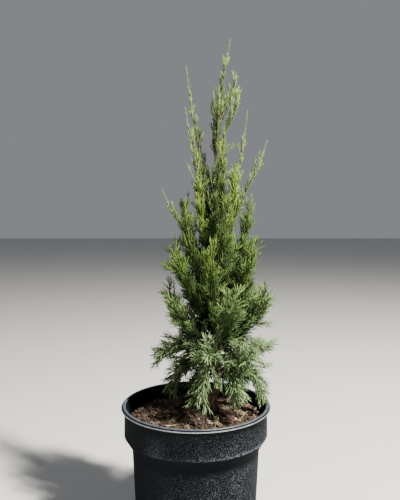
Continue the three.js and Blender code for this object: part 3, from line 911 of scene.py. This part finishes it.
LEADER_TIP = (61, 14, 629)
LEADER_FORKS = [((32, 40, 543), 0.04), ((40, -14, 539), 0.12), ((78, 2, 534), 0.2), ((73, 30, 573), 0.34)]


def seeded(seed):
    """Numbers from 0 to 1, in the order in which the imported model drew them."""
    state = seed
    while True:
        state = (state * 1664525 + 1013904223) % 2**32
        yield state / 2**32


def wander(random, amount):
    """A number from -amount to amount."""
    return (2 * next(random) - 1) * amount


def bent(path, t):
    """Points at shares t of the curve from path's first point past its second to its third."""
    t = np.asarray(t, float)[..., None]
    return (1 - t) ** 2 * path[0] + 2 * t * (1 - t) * path[1] + t**2 * path[2]


def tier_plumes():
    """The plumes of all tiers, each a curve from the trunk past its bend to its tip."""
    random = seeded(SEED)
    for name, row in TIERS.items():
        tier = dict(zip(COLUMNS, row))
        for i, direction in enumerate(tier["turns"]):
            turn = math.radians(direction + wander(random, 9))
            reach = tier["reach"] * (1 + wander(random, 0.06))
            start = trunk_point(POT_HEIGHT + tier["attach"] + wander(random, 7))
            tip = POT_HEIGHT + tier["tip"] + wander(random, 9)
            x, y = CROWN_AXIS[0] + reach * math.cos(turn), CROWN_AXIS[1] + reach * math.sin(turn)
            out, rise = tier["bend"]
            bend = (mix(start[0], x, out), mix(start[1], y, out), start[2] + rise)
            path = np.array((start, bend, (x, y, tip)))
            yield {**BRANCHING, **tier, "tier": name, "name": f"{name}_{i + 1}", "path": path, "forks": []}


def rising_path(start, tip, out, rise):
    """A curve that leaves start outwards and turns up to a tip over the rim."""
    end = (tip[0], tip[1], POT_HEIGHT + tip[2])
    bend = (mix(start[0], end[0], out), mix(start[1], end[1], out), mix(start[2], end[2], rise))
    return np.array((start, bend, end))


plumes = list(tier_plumes())
for i, (tip, attach) in enumerate(WHIPS):
    path = rising_path(trunk_point(POT_HEIGHT + attach), tip, 0.62, 0.24)
    plumes.append({**WHIP, "tier": "whip", "name": f"whip_{i + 1}", "path": path, "forks": []})
path = rising_path(trunk_point(TRUNK_TOP + 0.3), LEADER_TIP, 0.12, 0.5)
forks = [rising_path(bent(path, share), tip, 0.8, 0.4) for tip, share in LEADER_FORKS]
plumes.append({**WHIP, "tier": "leader", "name": "leader", "path": path, "forks": forks})
print(len(plumes), "plumes, for", len(MASSES), "masses")

# %% [markdown]
# Plumes keep out of each other's way: a point belongs to the plume whose curve is nearest, and a
# twig is only kept where it stays in its own plume's space, clear of the pot and of what has grown
# before. That is what leaves the gaps through which the background shows.

# %% Room for each plume
SAMPLES = 13
CLEARANCE = 3.8
curve_points, curve_owners = [], []
for plume in plumes:
    for path, start in [(plume["path"], plume["bare"])] + [(fork, 0) for fork in plume["forks"]]:
        curve_points.append(bent(path, np.linspace(start, 1, SAMPLES)))
        curve_owners += [plume["name"]] * SAMPLES
curve_points = np.concatenate(curve_points)
curve_owners = np.array(curve_owners)


def in_own_space(places, owner, share=0.93):
    """Whether points are nearer to their own plume than to any other, by a share."""
    gaps = np.linalg.norm(places[:, None] - curve_points[None], axis=2)
    mine = curve_owners == owner
    return gaps[:, mine].min(axis=1) < share * gaps[:, ~mine].min(axis=1)


def clear_of_pot(places):
    """Above the soil, and above the rim for points that are near it."""
    over_soil = np.hypot(places[:, 0], places[:, 1]) < COLLAR_RADIUS - SHELL - CLEARANCE
    return places[:, 2] > np.where(over_soil, GROUND, POT_HEIGHT) + CLEARANCE


print(len(curve_points), "points on curves")

# %% [markdown]
# What has grown is kept as rods: short straight lines with a radius. Two limbs touch where the gap
# between their lines is smaller than the sum of their radii, which is quick to work out and good
# enough for curves this gentle.

# %% Rods kept clear
GROWN_GAP = 0.3
rods = []


def line_gap(a, b, c, d):
    """Shortest distance between the lines from a to b and from c to d."""
    u, v, w = b - a, d - c, a - c
    uu, uv, vv, uw, vw = u @ u, u @ v, v @ v, u @ w, v @ w
    spread = uu * vv - uv * uv
    first = min(1, max(0, (uv * vw - vv * uw) / spread)) if spread > 1e-9 else 0
    t = min(1, max(0, (uv * first + vw) / vv))
    s = min(1, max(0, (uv * t - uw) / uu))
    return float(np.linalg.norm(w + u * s - v * t))


def rods_along(path_at, radius_at, gap, start, end, steps):
    """Rods along a curve, as wide as radius_at(t) plus a gap."""
    shares = [start + (end - start) * i / steps for i in range(steps + 1)]
    pairs = zip(shares, shares[1:])
    return [(path_at(s), path_at(e), max(radius_at(s), radius_at(e)) + gap) for s, e in pairs]


def touches_kept(made):
    """Whether any of the rods in made touches one that is kept."""
    return any(line_gap(a, b, c, d) < r + q for c, d, q in rods for a, b, r in made)


rods += rods_along(trunk_point, trunk_radius, GROWN_GAP, GROUND, TRUNK_TOP, 18)
for plume in plumes:
    if plume["bare"]:
        path_at = lambda t: bent(plume["path"], t)
        radius_at = lambda t: mix(2.7, 1.6, t / plume["bare"])
        rods += rods_along(path_at, radius_at, GROWN_GAP, 0.05, plume["bare"], 3)
print(len(rods), "rods kept clear")

# %% [markdown]
# Now the stems grow their twigs. A twig leaves its stem at a golden-angle turn from the last one,
# which is how most shoots avoid shading their own leaves. It is tried at full length, then shorter,
# and left out where there is no room. Every stem and twig ends up as one curve with a length, a
# pair of radii and the reach of what grows on it.

# %% Stems and twigs
TWIG_RADIUS, TWIG_GAP = 1.2, 2.4
shoots = []


def add_shoot(plume, kind, path, start, length, radii, reach):
    """Keeps a shoot; reach is the length of the longest sprig on it."""
    shoots.append(
        dict(plume=plume, kind=kind, path=path, start=start, length=length, radii=radii, reach=reach)
    )


def outward_at(along, turn):
    """The way out of a limb that runs along, at a turn about it in radians."""
    side = square_to(ASKEW, along)
    return side * np.cos(turn) + np.cross(side, along) * np.sin(turn)


def grow_stem(plume, path, start, core, random):
    """A stem of a plume and the twigs for which there is room."""
    up = np.array((0, 0, plume["lift"]))
    halves = bent(path, (start, 0.5, 1))
    length = np.linalg.norm(halves[2] - halves[1]) + np.linalg.norm(halves[1] - halves[0])
    count = round(length / plume["spacing"])
    turn = 360 * next(random)
    for i in range(count):
        share = mix(0.15, 0.9, (i + 0.5) / count)
        t = mix(start, 1, share)
        base, along = bent(path, t), heading(lambda s: bent(path, s), t)
        turn += GOLDEN + wander(random, 14)
        outward = outward_at(along, math.radians(turn))
        lean = math.radians(plume["angle"] + wander(random, 7))
        way = unit(along * math.cos(lean) + outward * math.sin(lean) + up * 0.3)
        whole = plume["twig"] * (1 - plume["taper"] * share) * (1 + wander(random, 0.15))
        for length_share in (1, 0.8, 0.6):
            size = length_share * whole
            end = base + way * size
            twig = np.array((base, (base + end) / 2, end + up * 0.12 * size))
            made = rods_along(lambda s: bent(twig, s), lambda s: TWIG_RADIUS, TWIG_GAP, 0, 1, 2)
            tips = np.array([b for _, b, _ in made])
            if not (clear_of_pot(tips) & in_own_space(tips, plume["name"])).all() or touches_kept(made[1:]):
                continue
            add_shoot(plume, "twig", twig, 0, size, (TWIG_RADIUS, 0.5), plume["needle"])
            rods.extend(made)
            break
    add_shoot(plume, "stem", path, start, length, (1.5, 0.6), core)


for index, plume in enumerate(plumes):
    random = seeded(SEED + SEED_STEP * (index + 1))
    grow_stem(plume, plume["path"], plume["bare"], plume["core"], random)
    for fork in plume["forks"]:
        grow_stem(plume, fork, 0, 0.6 * plume["core"], random)
stems = [shoot for shoot in shoots if shoot["kind"] == "stem"]
print(len(stems), "stems and", len(shoots) - len(stems), "twigs")

# %% [markdown]
# The plain solids stop at those twigs. The real crown is far denser: every stem also carries side
# shoots a hand's breadth long or less, which hang in the skirt and stand upright higher up, and
# which close the crown round the trunk. They may cross into the next plume's space, but not past
# the crown's own outline, which runs from tier to tier. Some of them are slender: they grow longer,
# with short sprigs, and higher up they may break the outline with a fine point.

# %% Side shoots
SIDE_SHOOTS = {
    # spacing and length, then how much of their way is along the stem, square to it, up, off the trunk
    "skirt": (14, 46, 0.75, 0.45, -0.4, 0.1),
    "low": (9, 54, 0.5, 0.5, -0.05, 0.25),
    "middle": (7, 62, 0.3, 0.48, 0.6, 0.34),
    "shoulder": (7.5, 64, 0.3, 0.4, 0.8, 0.28),
    "upper": (8.5, 60, 0.3, 0.34, 0.95, 0.2),
    "crown": (11, 54, 0.3, 0.32, 1.0, 0.12),
    "spire": (12, 46, 0.35, 0.3, 1.0, 0.05),
    "heart": (11, 54, 0.25, 0.4, 1.0, 0.3),
    "whip": (16, 38, 0.75, 0.28, 0.6, 0.0),
    "leader": (10, 46, 0.7, 0.26, 0.7, 0.0),
}
# the crown's outline: height over the rim, radius
OUTLINE = ((0, 92), (88, 98), (150, 99), (232, 86), (300, 76), (375, 60), (455, 40), (560, 24), (640, 12))
SLENDER = 0.3
SLENDER_FREE = 190  # height over the rim from which a slender shoot may pass the outline
chance = np.random.default_rng(7)


def share_of_outline(places):
    """How far out points stand, as a share of the crown's radius at their height."""
    heights, radii = zip(*OUTLINE)
    radius = np.hypot(places[:, 0] - CROWN_AXIS[0], places[:, 1] - CROWN_AXIS[1])
    return radius / np.interp(places[:, 2] - POT_HEIGHT, heights, radii)


def grow_side_shoots(stem):
    """Short shoots all along a stem, with some long and slender ones among them."""
    plume, path_at = stem["plume"], lambda s: bent(stem["path"], s)
    spacing, longest, forward, outwards, upwards, off_trunk = SIDE_SHOOTS[plume["tier"]]
    count = max(2, round(stem["length"] / spacing))
    whip = plume["tier"] in ("whip", "leader")
    last = 0.8 if whip else 0.92
    up = np.array((0, 0, 1.0))
    first_turn = chance.uniform(0, 360)
    for i in range(count):
        share = last * (i + chance.uniform(0.2, 0.8)) / count
        t = mix(stem["start"], 1, share)
        base, along = path_at(t), heading(path_at, t)
        outward = outward_at(along, math.radians(first_turn + GOLDEN * i + chance.normal(0, 15)))
        away = unit(np.array((base[0] - CROWN_AXIS[0], base[1] - CROWN_AXIS[1], 1e-6)))
        way = along * forward + outward * (outwards + chance.normal(0, 0.1)) + up * upwards
        way = unit(way + away * off_trunk)
        slender = not whip and chance.random() < SLENDER
        kind, needle, sizes = ("slender", 9, (1.2, 1.6)) if slender else ("side", 19, (0.6, 1.1))
        limit = 1.2 if slender and base[2] > POT_HEIGHT + SLENDER_FREE else 1.0
        whole = longest * (1 - 0.56 * share) * chance.uniform(*sizes)
        for size in (1, 0.75, 0.5):
            length = whole * size
            end = base + way * length
            path = np.array((base, (base + end) / 2, end + up * upwards * 0.14 * length))
            places = bent(path, (0.5, 1))
            inside = whip or (share_of_outline(places) < limit).all()
            if inside and clear_of_pot(places).all() and in_own_space(places, plume["name"], 2.2).all():
                add_shoot(plume, kind, path, 0, length, (0.85, 0.4), needle)
                break


for stem in stems:
    grow_side_shoots(stem)
print(sum(shoot["kind"] in ("side", "slender") for shoot in shoots), "side shoots")

# %% [markdown]
# Last come inner shoots, straight from the trunk. They fill the dark heart of the crown, which the
# plumes leave open: standing ones higher up, and hanging ones over the soil.

# %% Inner shoots
STANDING, HANGING = 80, 30


def add_inner_shoot(height, turn, outwards, upwards, length, droop):
    """A shoot straight from the trunk; it goes with the plume that is nearest to its tip."""
    base = trunk_point(POT_HEIGHT + height)
    way = unit(np.array((outwards * math.cos(turn), outwards * math.sin(turn), upwards)))
    end = base + way * length + np.array((0, 0, droop * length))
    path = np.array((base, base + way * length * 0.5, end))
    if not clear_of_pot(bent(path, np.array((0.6, 1)))).all():
        return
    nearest = curve_owners[np.argmin(np.linalg.norm(curve_points - end, axis=1))]
    plume = next(plume for plume in plumes if plume["name"] == nearest)
    add_shoot(plume, "inner", path, 0, length, (1.1, 0.5), 20)


for i in range(STANDING):
    turn = math.radians(GOLDEN * i + chance.normal(0, 12))
    share = i / STANDING
    spread = mix(1.1, 0.35, share) * chance.uniform(0.6, 1.2)
    length = mix(96, 58, share) * chance.uniform(0.7, 1.1)
    add_inner_shoot(mix(62, 372, share) + chance.uniform(-4, 4), turn, spread, 1, length, 0.1)
for i in range(HANGING):
    turn = math.radians(GOLDEN * i + 40 + chance.normal(0, 12))
    length = chance.uniform(52, 88)
    add_inner_shoot(mix(34, 120, i / HANGING), turn, 1, chance.uniform(0, 0.35), length, -0.3)
print(sum(shoot["kind"] == "inner" for shoot in shoots), "inner shoots")

# %% [markdown]
# Every limb is a tube of five or six sides, which is enough for wood a few millimetres thick. The
# bare boughs are seen from near by, so they get bark. Stems that carry a plume are brown, and
# twigs, side shoots and whips are still green.

# %% Make the boughs and the twigs
TWIG_GREENS = [(0.3, (0.05, 0.05, 0.02)), (0.55, (0.11, 0.11, 0.04)), (0.75, (0.19, 0.18, 0.07))]
green_bark = grained("green_bark", TWIG_GREENS, 600, 0.3, 0.75, 0.4, 0.3)
bough_shape, stem_shape, twig_shape = bmesh.new(), bmesh.new(), bmesh.new()
for plume in plumes:
    if plume["bare"]:
        path_at = lambda t: bent(plume["path"], t)
        radius_at = lambda t, angle: mix(3.0, 1.7, t / plume["bare"])
        add_limb(bough_shape, path_at, barky(path_at, radius_at, 0.28), 0.02, plume["bare"], 14, 26)
for shoot in shoots:
    start, (thick, thin) = shoot["start"], shoot["radii"]
    path_at = lambda t: bent(shoot["path"], t)
    radius_at = lambda t, angle: mix(thick, thin * 0.7, (t - start) / (1 - start))
    woody = shoot["kind"] == "stem" and shoot["plume"]["tier"] not in ("whip", "leader")
    sides, step = (6, 9) if woody else (5, 12)
    steps = max(3, round(shoot["length"] / step))
    add_limb(stem_shape if woody else twig_shape, path_at, radius_at, start, 1, sides, steps)
for name, shape, material, nodes in (
    ("boughs_with_bark", bough_shape, brown_bark, BOUGHS),
    ("woody_stems", stem_shape, brown_bark, MASSES),
    ("green_twigs", twig_shape, green_bark, MASSES),
):
    bmesh.ops.recalc_face_normals(shape, faces=shape.faces)
    piece = new_object(name, finish_mesh(shape, name), material)
    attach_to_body(piece, "root")
    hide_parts(*nodes)
    print(name, len(piece.data.polygons), "faces")

# %% [markdown]
# ## Sprigs
# What one sees of a juniper is its sprigs: short side shoots, each with a feather of
# branchlets that are clad in tiny scale leaves. Sprigs stand all along each limb, closer than the
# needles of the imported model. Their length follows the same swelling, longest over the middle of
# the limb, and is cut back until the tip stays in or near its own plume's space.

# %% Place the sprigs
HABIT_COLUMNS = ("stem", "twig", "lean", "bend", "fan", "rank", "thick", "slim", "least")
HABIT = {
    # sprigs for each millimetre of stem and of its shoots, their lean from it and the share of the
    # plume's lift that bends them; how far and in what ranks their branchlets stand out, and how
    # thick these are; how slim a sprig's reach is, and the least of it
    "skirt": (0.36, 0.3, 29, 0.5, 22, 180, 0.95, 1, 9),
    "low": (0.36, 0.3, 29, 0.3, 21, 180, 0.95, 1, 9),
    "middle": (0.36, 0.3, 23, 0.25, 17, GOLDEN, 0.92, 1, 9),
    "shoulder": (0.36, 0.3, 21, 0.25, 15, GOLDEN, 0.9, 1, 9),
    "upper": (0.36, 0.3, 19, 0.25, 14, GOLDEN, 0.88, 1, 9),
    "crown": (0.36, 0.3, 18, 0.2, 14, GOLDEN, 0.82, 0.85, 8),
    "spire": (0.36, 0.3, 17, 0.2, 13, GOLDEN, 0.75, 0.7, 7),
    "heart": (0.34, 0.3, 19, 0.2, 15, GOLDEN, 0.9, 1, 8),
    "whip": (0.5, 0.42, 14, 0.2, 11, GOLDEN, 0.66, 0.5, 5.5),
    "leader": (0.5, 0.42, 14, 0.2, 11, GOLDEN, 0.66, 0.5, 5.5),
}
HABIT = {tier: dict(zip(HABIT_COLUMNS, row)) for tier, row in HABIT.items()}
OWN_SHARE = {"stem": 1.05, "twig": 1.05, "side": 2.4, "slender": 2.8, "inner": 3.0}
SHORTEST_SPRIG = 2.2


def place_sprigs(shoot):
    """Rows of base, way, bend, length and tone for the sprigs of one shoot; the tone sets their painted
    shade and light.
    """
    plume = shoot["plume"]
    habit = HABIT[plume["tier"]]
    count = max(4, round(shoot["length"] * habit["stem" if shoot["kind"] == "stem" else "twig"]))
    first = 0.02 if shoot["kind"] == "stem" else 0.1
    share = first + (1 - first) * (np.arange(count) + chance.uniform(0.1, 0.9, count)) / count
    t = shoot["start"] + (1 - shoot["start"]) * share
    path_at = lambda s: bent(shoot["path"], s)
    base, along = path_at(t), heading(path_at, t)
    turn = np.radians(GOLDEN * np.arange(count) + chance.uniform(0, 360) + chance.normal(0, 16, count))
    outward = outward_at(along, turn[:, None])
    lean = np.radians(habit["lean"] + chance.normal(0, 6, count))[:, None]
    way = along * np.cos(lean) + outward * np.sin(lean)
    swelling = np.sin(math.pi * share**0.8) ** 0.75
    reach = habit["slim"] * shoot["reach"] * swelling * (1 - 0.5 * chance.random(count))
    least = habit["least"] * (0.62 if shoot["kind"] == "slender" else 1)
    reach = np.maximum(reach, least * np.clip(6 * (1 - share), 0.45, 1))
    length = np.zeros(count)
    for size in (0.25, 0.4, 0.6, 0.8, 1):
        tips = base + way * (size * reach)[:, None]
        free = in_own_space(tips, plume["name"], OWN_SHARE[shoot["kind"]]) & clear_of_pot(tips)
        length = np.where(free, size * reach, length)
    bend = (np.array((0, 0, plume["lift"])) * habit["bend"] + along * 0.12) * length[:, None]
    # painted shade and light: sprigs deep inside the crown get darker tints, those further out and nearer
    # their shoot's end paler ones
    depth = np.clip(share_of_outline(base), 0, 1)
    painted_light_tone = 0.42 * depth + 0.28 * share + 0.3 * chance.random(count)
    keep = length > SHORTEST_SPRIG
    return [column[keep] for column in (base, way, bend, length, painted_light_tone)]


sprigs = {tier: [] for tier in HABIT}
for shoot in shoots:
    sprigs[shoot["plume"]["tier"]].append(place_sprigs(shoot))
sprigs = {tier: [np.concatenate(column) for column in zip(*rows)] for tier, rows in sprigs.items()}
print(sum(len(rows[3]) for rows in sprigs.values()), "sprigs")

# %% [markdown]
# A branchlet is a pointed rod, knobbly with scale leaves. On the plant it is about a millimetre
# thick. Here there are fewer of them and they are up to twice as thick at the foot, so that the
# crown is full without millions of faces. The model is a three-sided circle that is extruded ring
# by ring and merged to a point. There is one model for each number of rings, so a long branchlet
# gets more of them. All copies of a tint are joined into one piece.

# %% Branchlet models


def make_branchlet(rings):
    """A pointed three-sided rod along Z, one unit long and one unit in radius."""
    rod = bmesh.new()
    ring = bmesh.ops.create_circle(rod, segments=3, radius=0.8)["verts"]
    edges = list(rod.edges)
    for i in range(1, rings + 1):
        made = bmesh.ops.extrude_edge_only(rod, edges=edges)["geom"]
        ring = [item for item in made if isinstance(item, bmesh.types.BMVert)]
        edges = [e for e in made if isinstance(e, bmesh.types.BMEdge) and all(v in ring for v in e.verts)]
        wide = (1.08 if i % 2 else 0.92) * (1 - 0.4 * i / rings)
        for corner in ring:
            corner.co.z = i / rings
            corner.co.xy = corner.co.xy.normalized() * wide
    bmesh.ops.pointmerge(rod, verts=ring, merge_co=(0, 0, 1))
    bmesh.ops.recalc_face_normals(rod, faces=rod.faces)
    rod.verts.index_update()
    return arrays_of(rod)


RINGS = range(2, 13)
RING_STEP = 3.8
BRANCHLETS = {rings: make_branchlet(rings) for rings in RINGS}
print("a branchlet of 3 rings has", len(BRANCHLETS[3][1]), "triangles")

# %% [markdown]
# A sprig is one branchlet along its axis and a feather of others that leave it at a narrow angle,
# in two ranks low down, where sprays lie flat, and all round higher up. The longest stand at the
# sprig's foot. Everything here works on whole arrays: a row for each branchlet, with the place
# where it starts, its way, its bow, its length and its radius.

# %% Branchlets of each sprig
BRANCH_SPACING = 5
SHORTEST, LONGEST = 8.5, 27


def branchlets_of(base, way, bend, length, habit):
    """Rows of base, way, bow, length and radius: each sprig's axis and its side branchlets."""
    counts = np.maximum(1, np.round(length / BRANCH_SPACING)).astype(int)
    owner = np.repeat(np.arange(len(length)), counts)
    order = np.arange(len(owner)) - np.repeat(np.cumsum(counts) - counts, counts)
    share = 0.1 + 0.8 * (order + chance.uniform(0.2, 0.8, len(owner))) / counts[owner]
    s, size = share[:, None], length[owner][:, None]
    start = base[owner] + way[owner] * size * s + bend[owner] * s**2
    along = unit(way[owner] * size + 2 * bend[owner] * s)
    first_turn = chance.uniform(0, 360, len(length))
    turn = np.radians(first_turn[owner] + habit["rank"] * order + chance.normal(0, 22, len(owner)))[:, None]
    lean = np.radians(habit["fan"] + chance.normal(0, 5, len(owner)))[:, None]
    branch_way = along * np.cos(lean) + outward_at(along, turn) * np.sin(lean)
    branch = np.clip(SHORTEST + 0.85 * length[owner] * (1 - share), SHORTEST, LONGEST)
    branch = np.minimum(branch * chance.uniform(0.75, 1.15, len(owner)), 1.3 * length[owner])
    bow = 0.12 * along * branch[:, None]
    thin = np.concatenate([np.full(len(length), 1.0), np.full(len(owner), 0.92)])
    thick = habit["thick"] * np.clip(np.concatenate([length, length[owner]]) / 10, 0.7, 1)
    pairs = ((base, start), (way, branch_way), (bend, bow), (length, branch))
    rows = [np.concatenate(pair) for pair in pairs] + [thick * thin]
    return rows, np.concatenate([np.arange(len(length)), owner])


def copies_along(rows):
    """Groups of points and triangles for branchlets given by their rows."""
    base, way, bow, length, radius = rows
    side = square_to(ASKEW, way)
    other = np.cross(way, side)
    rings = np.clip(np.round(length / RING_STEP), RINGS[0], RINGS[-1]).astype(int)
    for count, (points, faces) in BRANCHLETS.items():
        mine = rings == count
        if not mine.any():
            continue
        x, y, z = (points[None, :, i, None] for i in range(3))
        wide = radius[mine][:, None, None]
        copies = base[mine][:, None] + way[mine][:, None] * length[mine][:, None, None] * z
        copies = copies + bow[mine][:, None] * z**2
        copies = copies + (side[mine][:, None] * x + other[mine][:, None] * y) * wide
        yield joined(copies, faces)


print("one side branchlet for every", BRANCH_SPACING, "mm of sprig")

# %% [markdown]
# Foliage colours go by place. The drooping skirt is bluish and greyer, the middle a full green,
# and the upright tips a yellower green. Each tier takes three plain tints of its colour: the dark one
# is painted shade for sprigs deep inside the crown, and the paler ones are painted light for sprigs
# further out and nearer the end of their shoot, where young growth is also paler. A sprig gets its
# tint by how far out it grows and how far along its shoot, with some chance in it.

# %% Foliage tints


def foliage_finish(name, color):
    """A scaly green whose noise runs a little darker and lighter than its colour."""
    dark = tuple(0.75 * value for value in color)
    light = tuple(min(1, 1.25 * value) for value in color)
    return grained(name, [(0.35, dark), (0.5, color), (0.65, light)], 75, 1.0, 0.55, 0.25, 0.22)


# in each tier's three tints the first is painted shade and the last painted light, over the tier's own
# colour
TINTS = {
    "glaucous_pale": (0.2, 0.278, 0.126),
    "glaucous_mid": (0.086, 0.136, 0.054),
    "grey_green_pale": (0.13, 0.2, 0.058),
    "grey_green_mid": (0.052, 0.093, 0.028),
    "grey_green_deep": (0.027, 0.047, 0.018),
    "green_deep": (0.017, 0.032, 0.009),
    "green_mid": (0.04, 0.074, 0.015),
    "green_fresh": (0.09, 0.148, 0.019),
    "green_bright": (0.19, 0.29, 0.032),
}
TINTS = {name: foliage_finish(name, color) for name, color in TINTS.items()}
DROOPING = ("grey_green_deep", "glaucous_mid", "glaucous_pale")
SPREADING = ("grey_green_deep", "grey_green_mid", "grey_green_pale")
UPRIGHT = ("green_deep", "green_mid", "green_fresh")
TOPMOST = ("green_deep", "green_fresh", "green_bright")
WHIPPY = ("green_deep", "green_mid", "green_bright")
TIER_TINTS = dict(
    skirt=DROOPING, low=DROOPING, middle=SPREADING, shoulder=UPRIGHT, upper=UPRIGHT, crown=TOPMOST,
    spire=TOPMOST, heart=UPRIGHT, whip=WHIPPY, leader=WHIPPY,
)
PAINTED_LIGHT_LIMITS = (0.36, 0.68)
print(len(TINTS), "tints")

# %% Grow the foliage
total = 0
for tier, (base, way, bend, length, painted_light_tone) in sprigs.items():
    rows, owner = branchlets_of(base, way, bend, length, HABIT[tier])
    band = np.digitize(painted_light_tone, PAINTED_LIGHT_LIMITS)[owner]
    nodes = [name for name in MASSES if name.split("_")[1] == tier]
    for i, tint in enumerate(TIER_TINTS[tier]):
        picked = [column[band == i] for column in rows]
        name = f"foliage_{tier}_{i + 1}"
        groups = list(copies_along(picked))
        made = piece_from(name, groups, TINTS[tint], nodes)
        total += made
        print(name, len(picked[0]), "branchlets,", made, "triangles")
print("foliage in all:", total, "triangles")

# %% [markdown]
# ## Size
# The dressed model should fill the same box as the imported one. Both boxes are worked out, and
# the new one is printed.

# %% Work out the sizes and finish
new_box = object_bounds()
boxes = {"cad": cad_box, "visual": new_box}
{name: [list(map(float, end)) for end in box] for name, box in boxes.items()}
print("box", [round(float(v) * 1000, 1) for end in new_box for v in end])
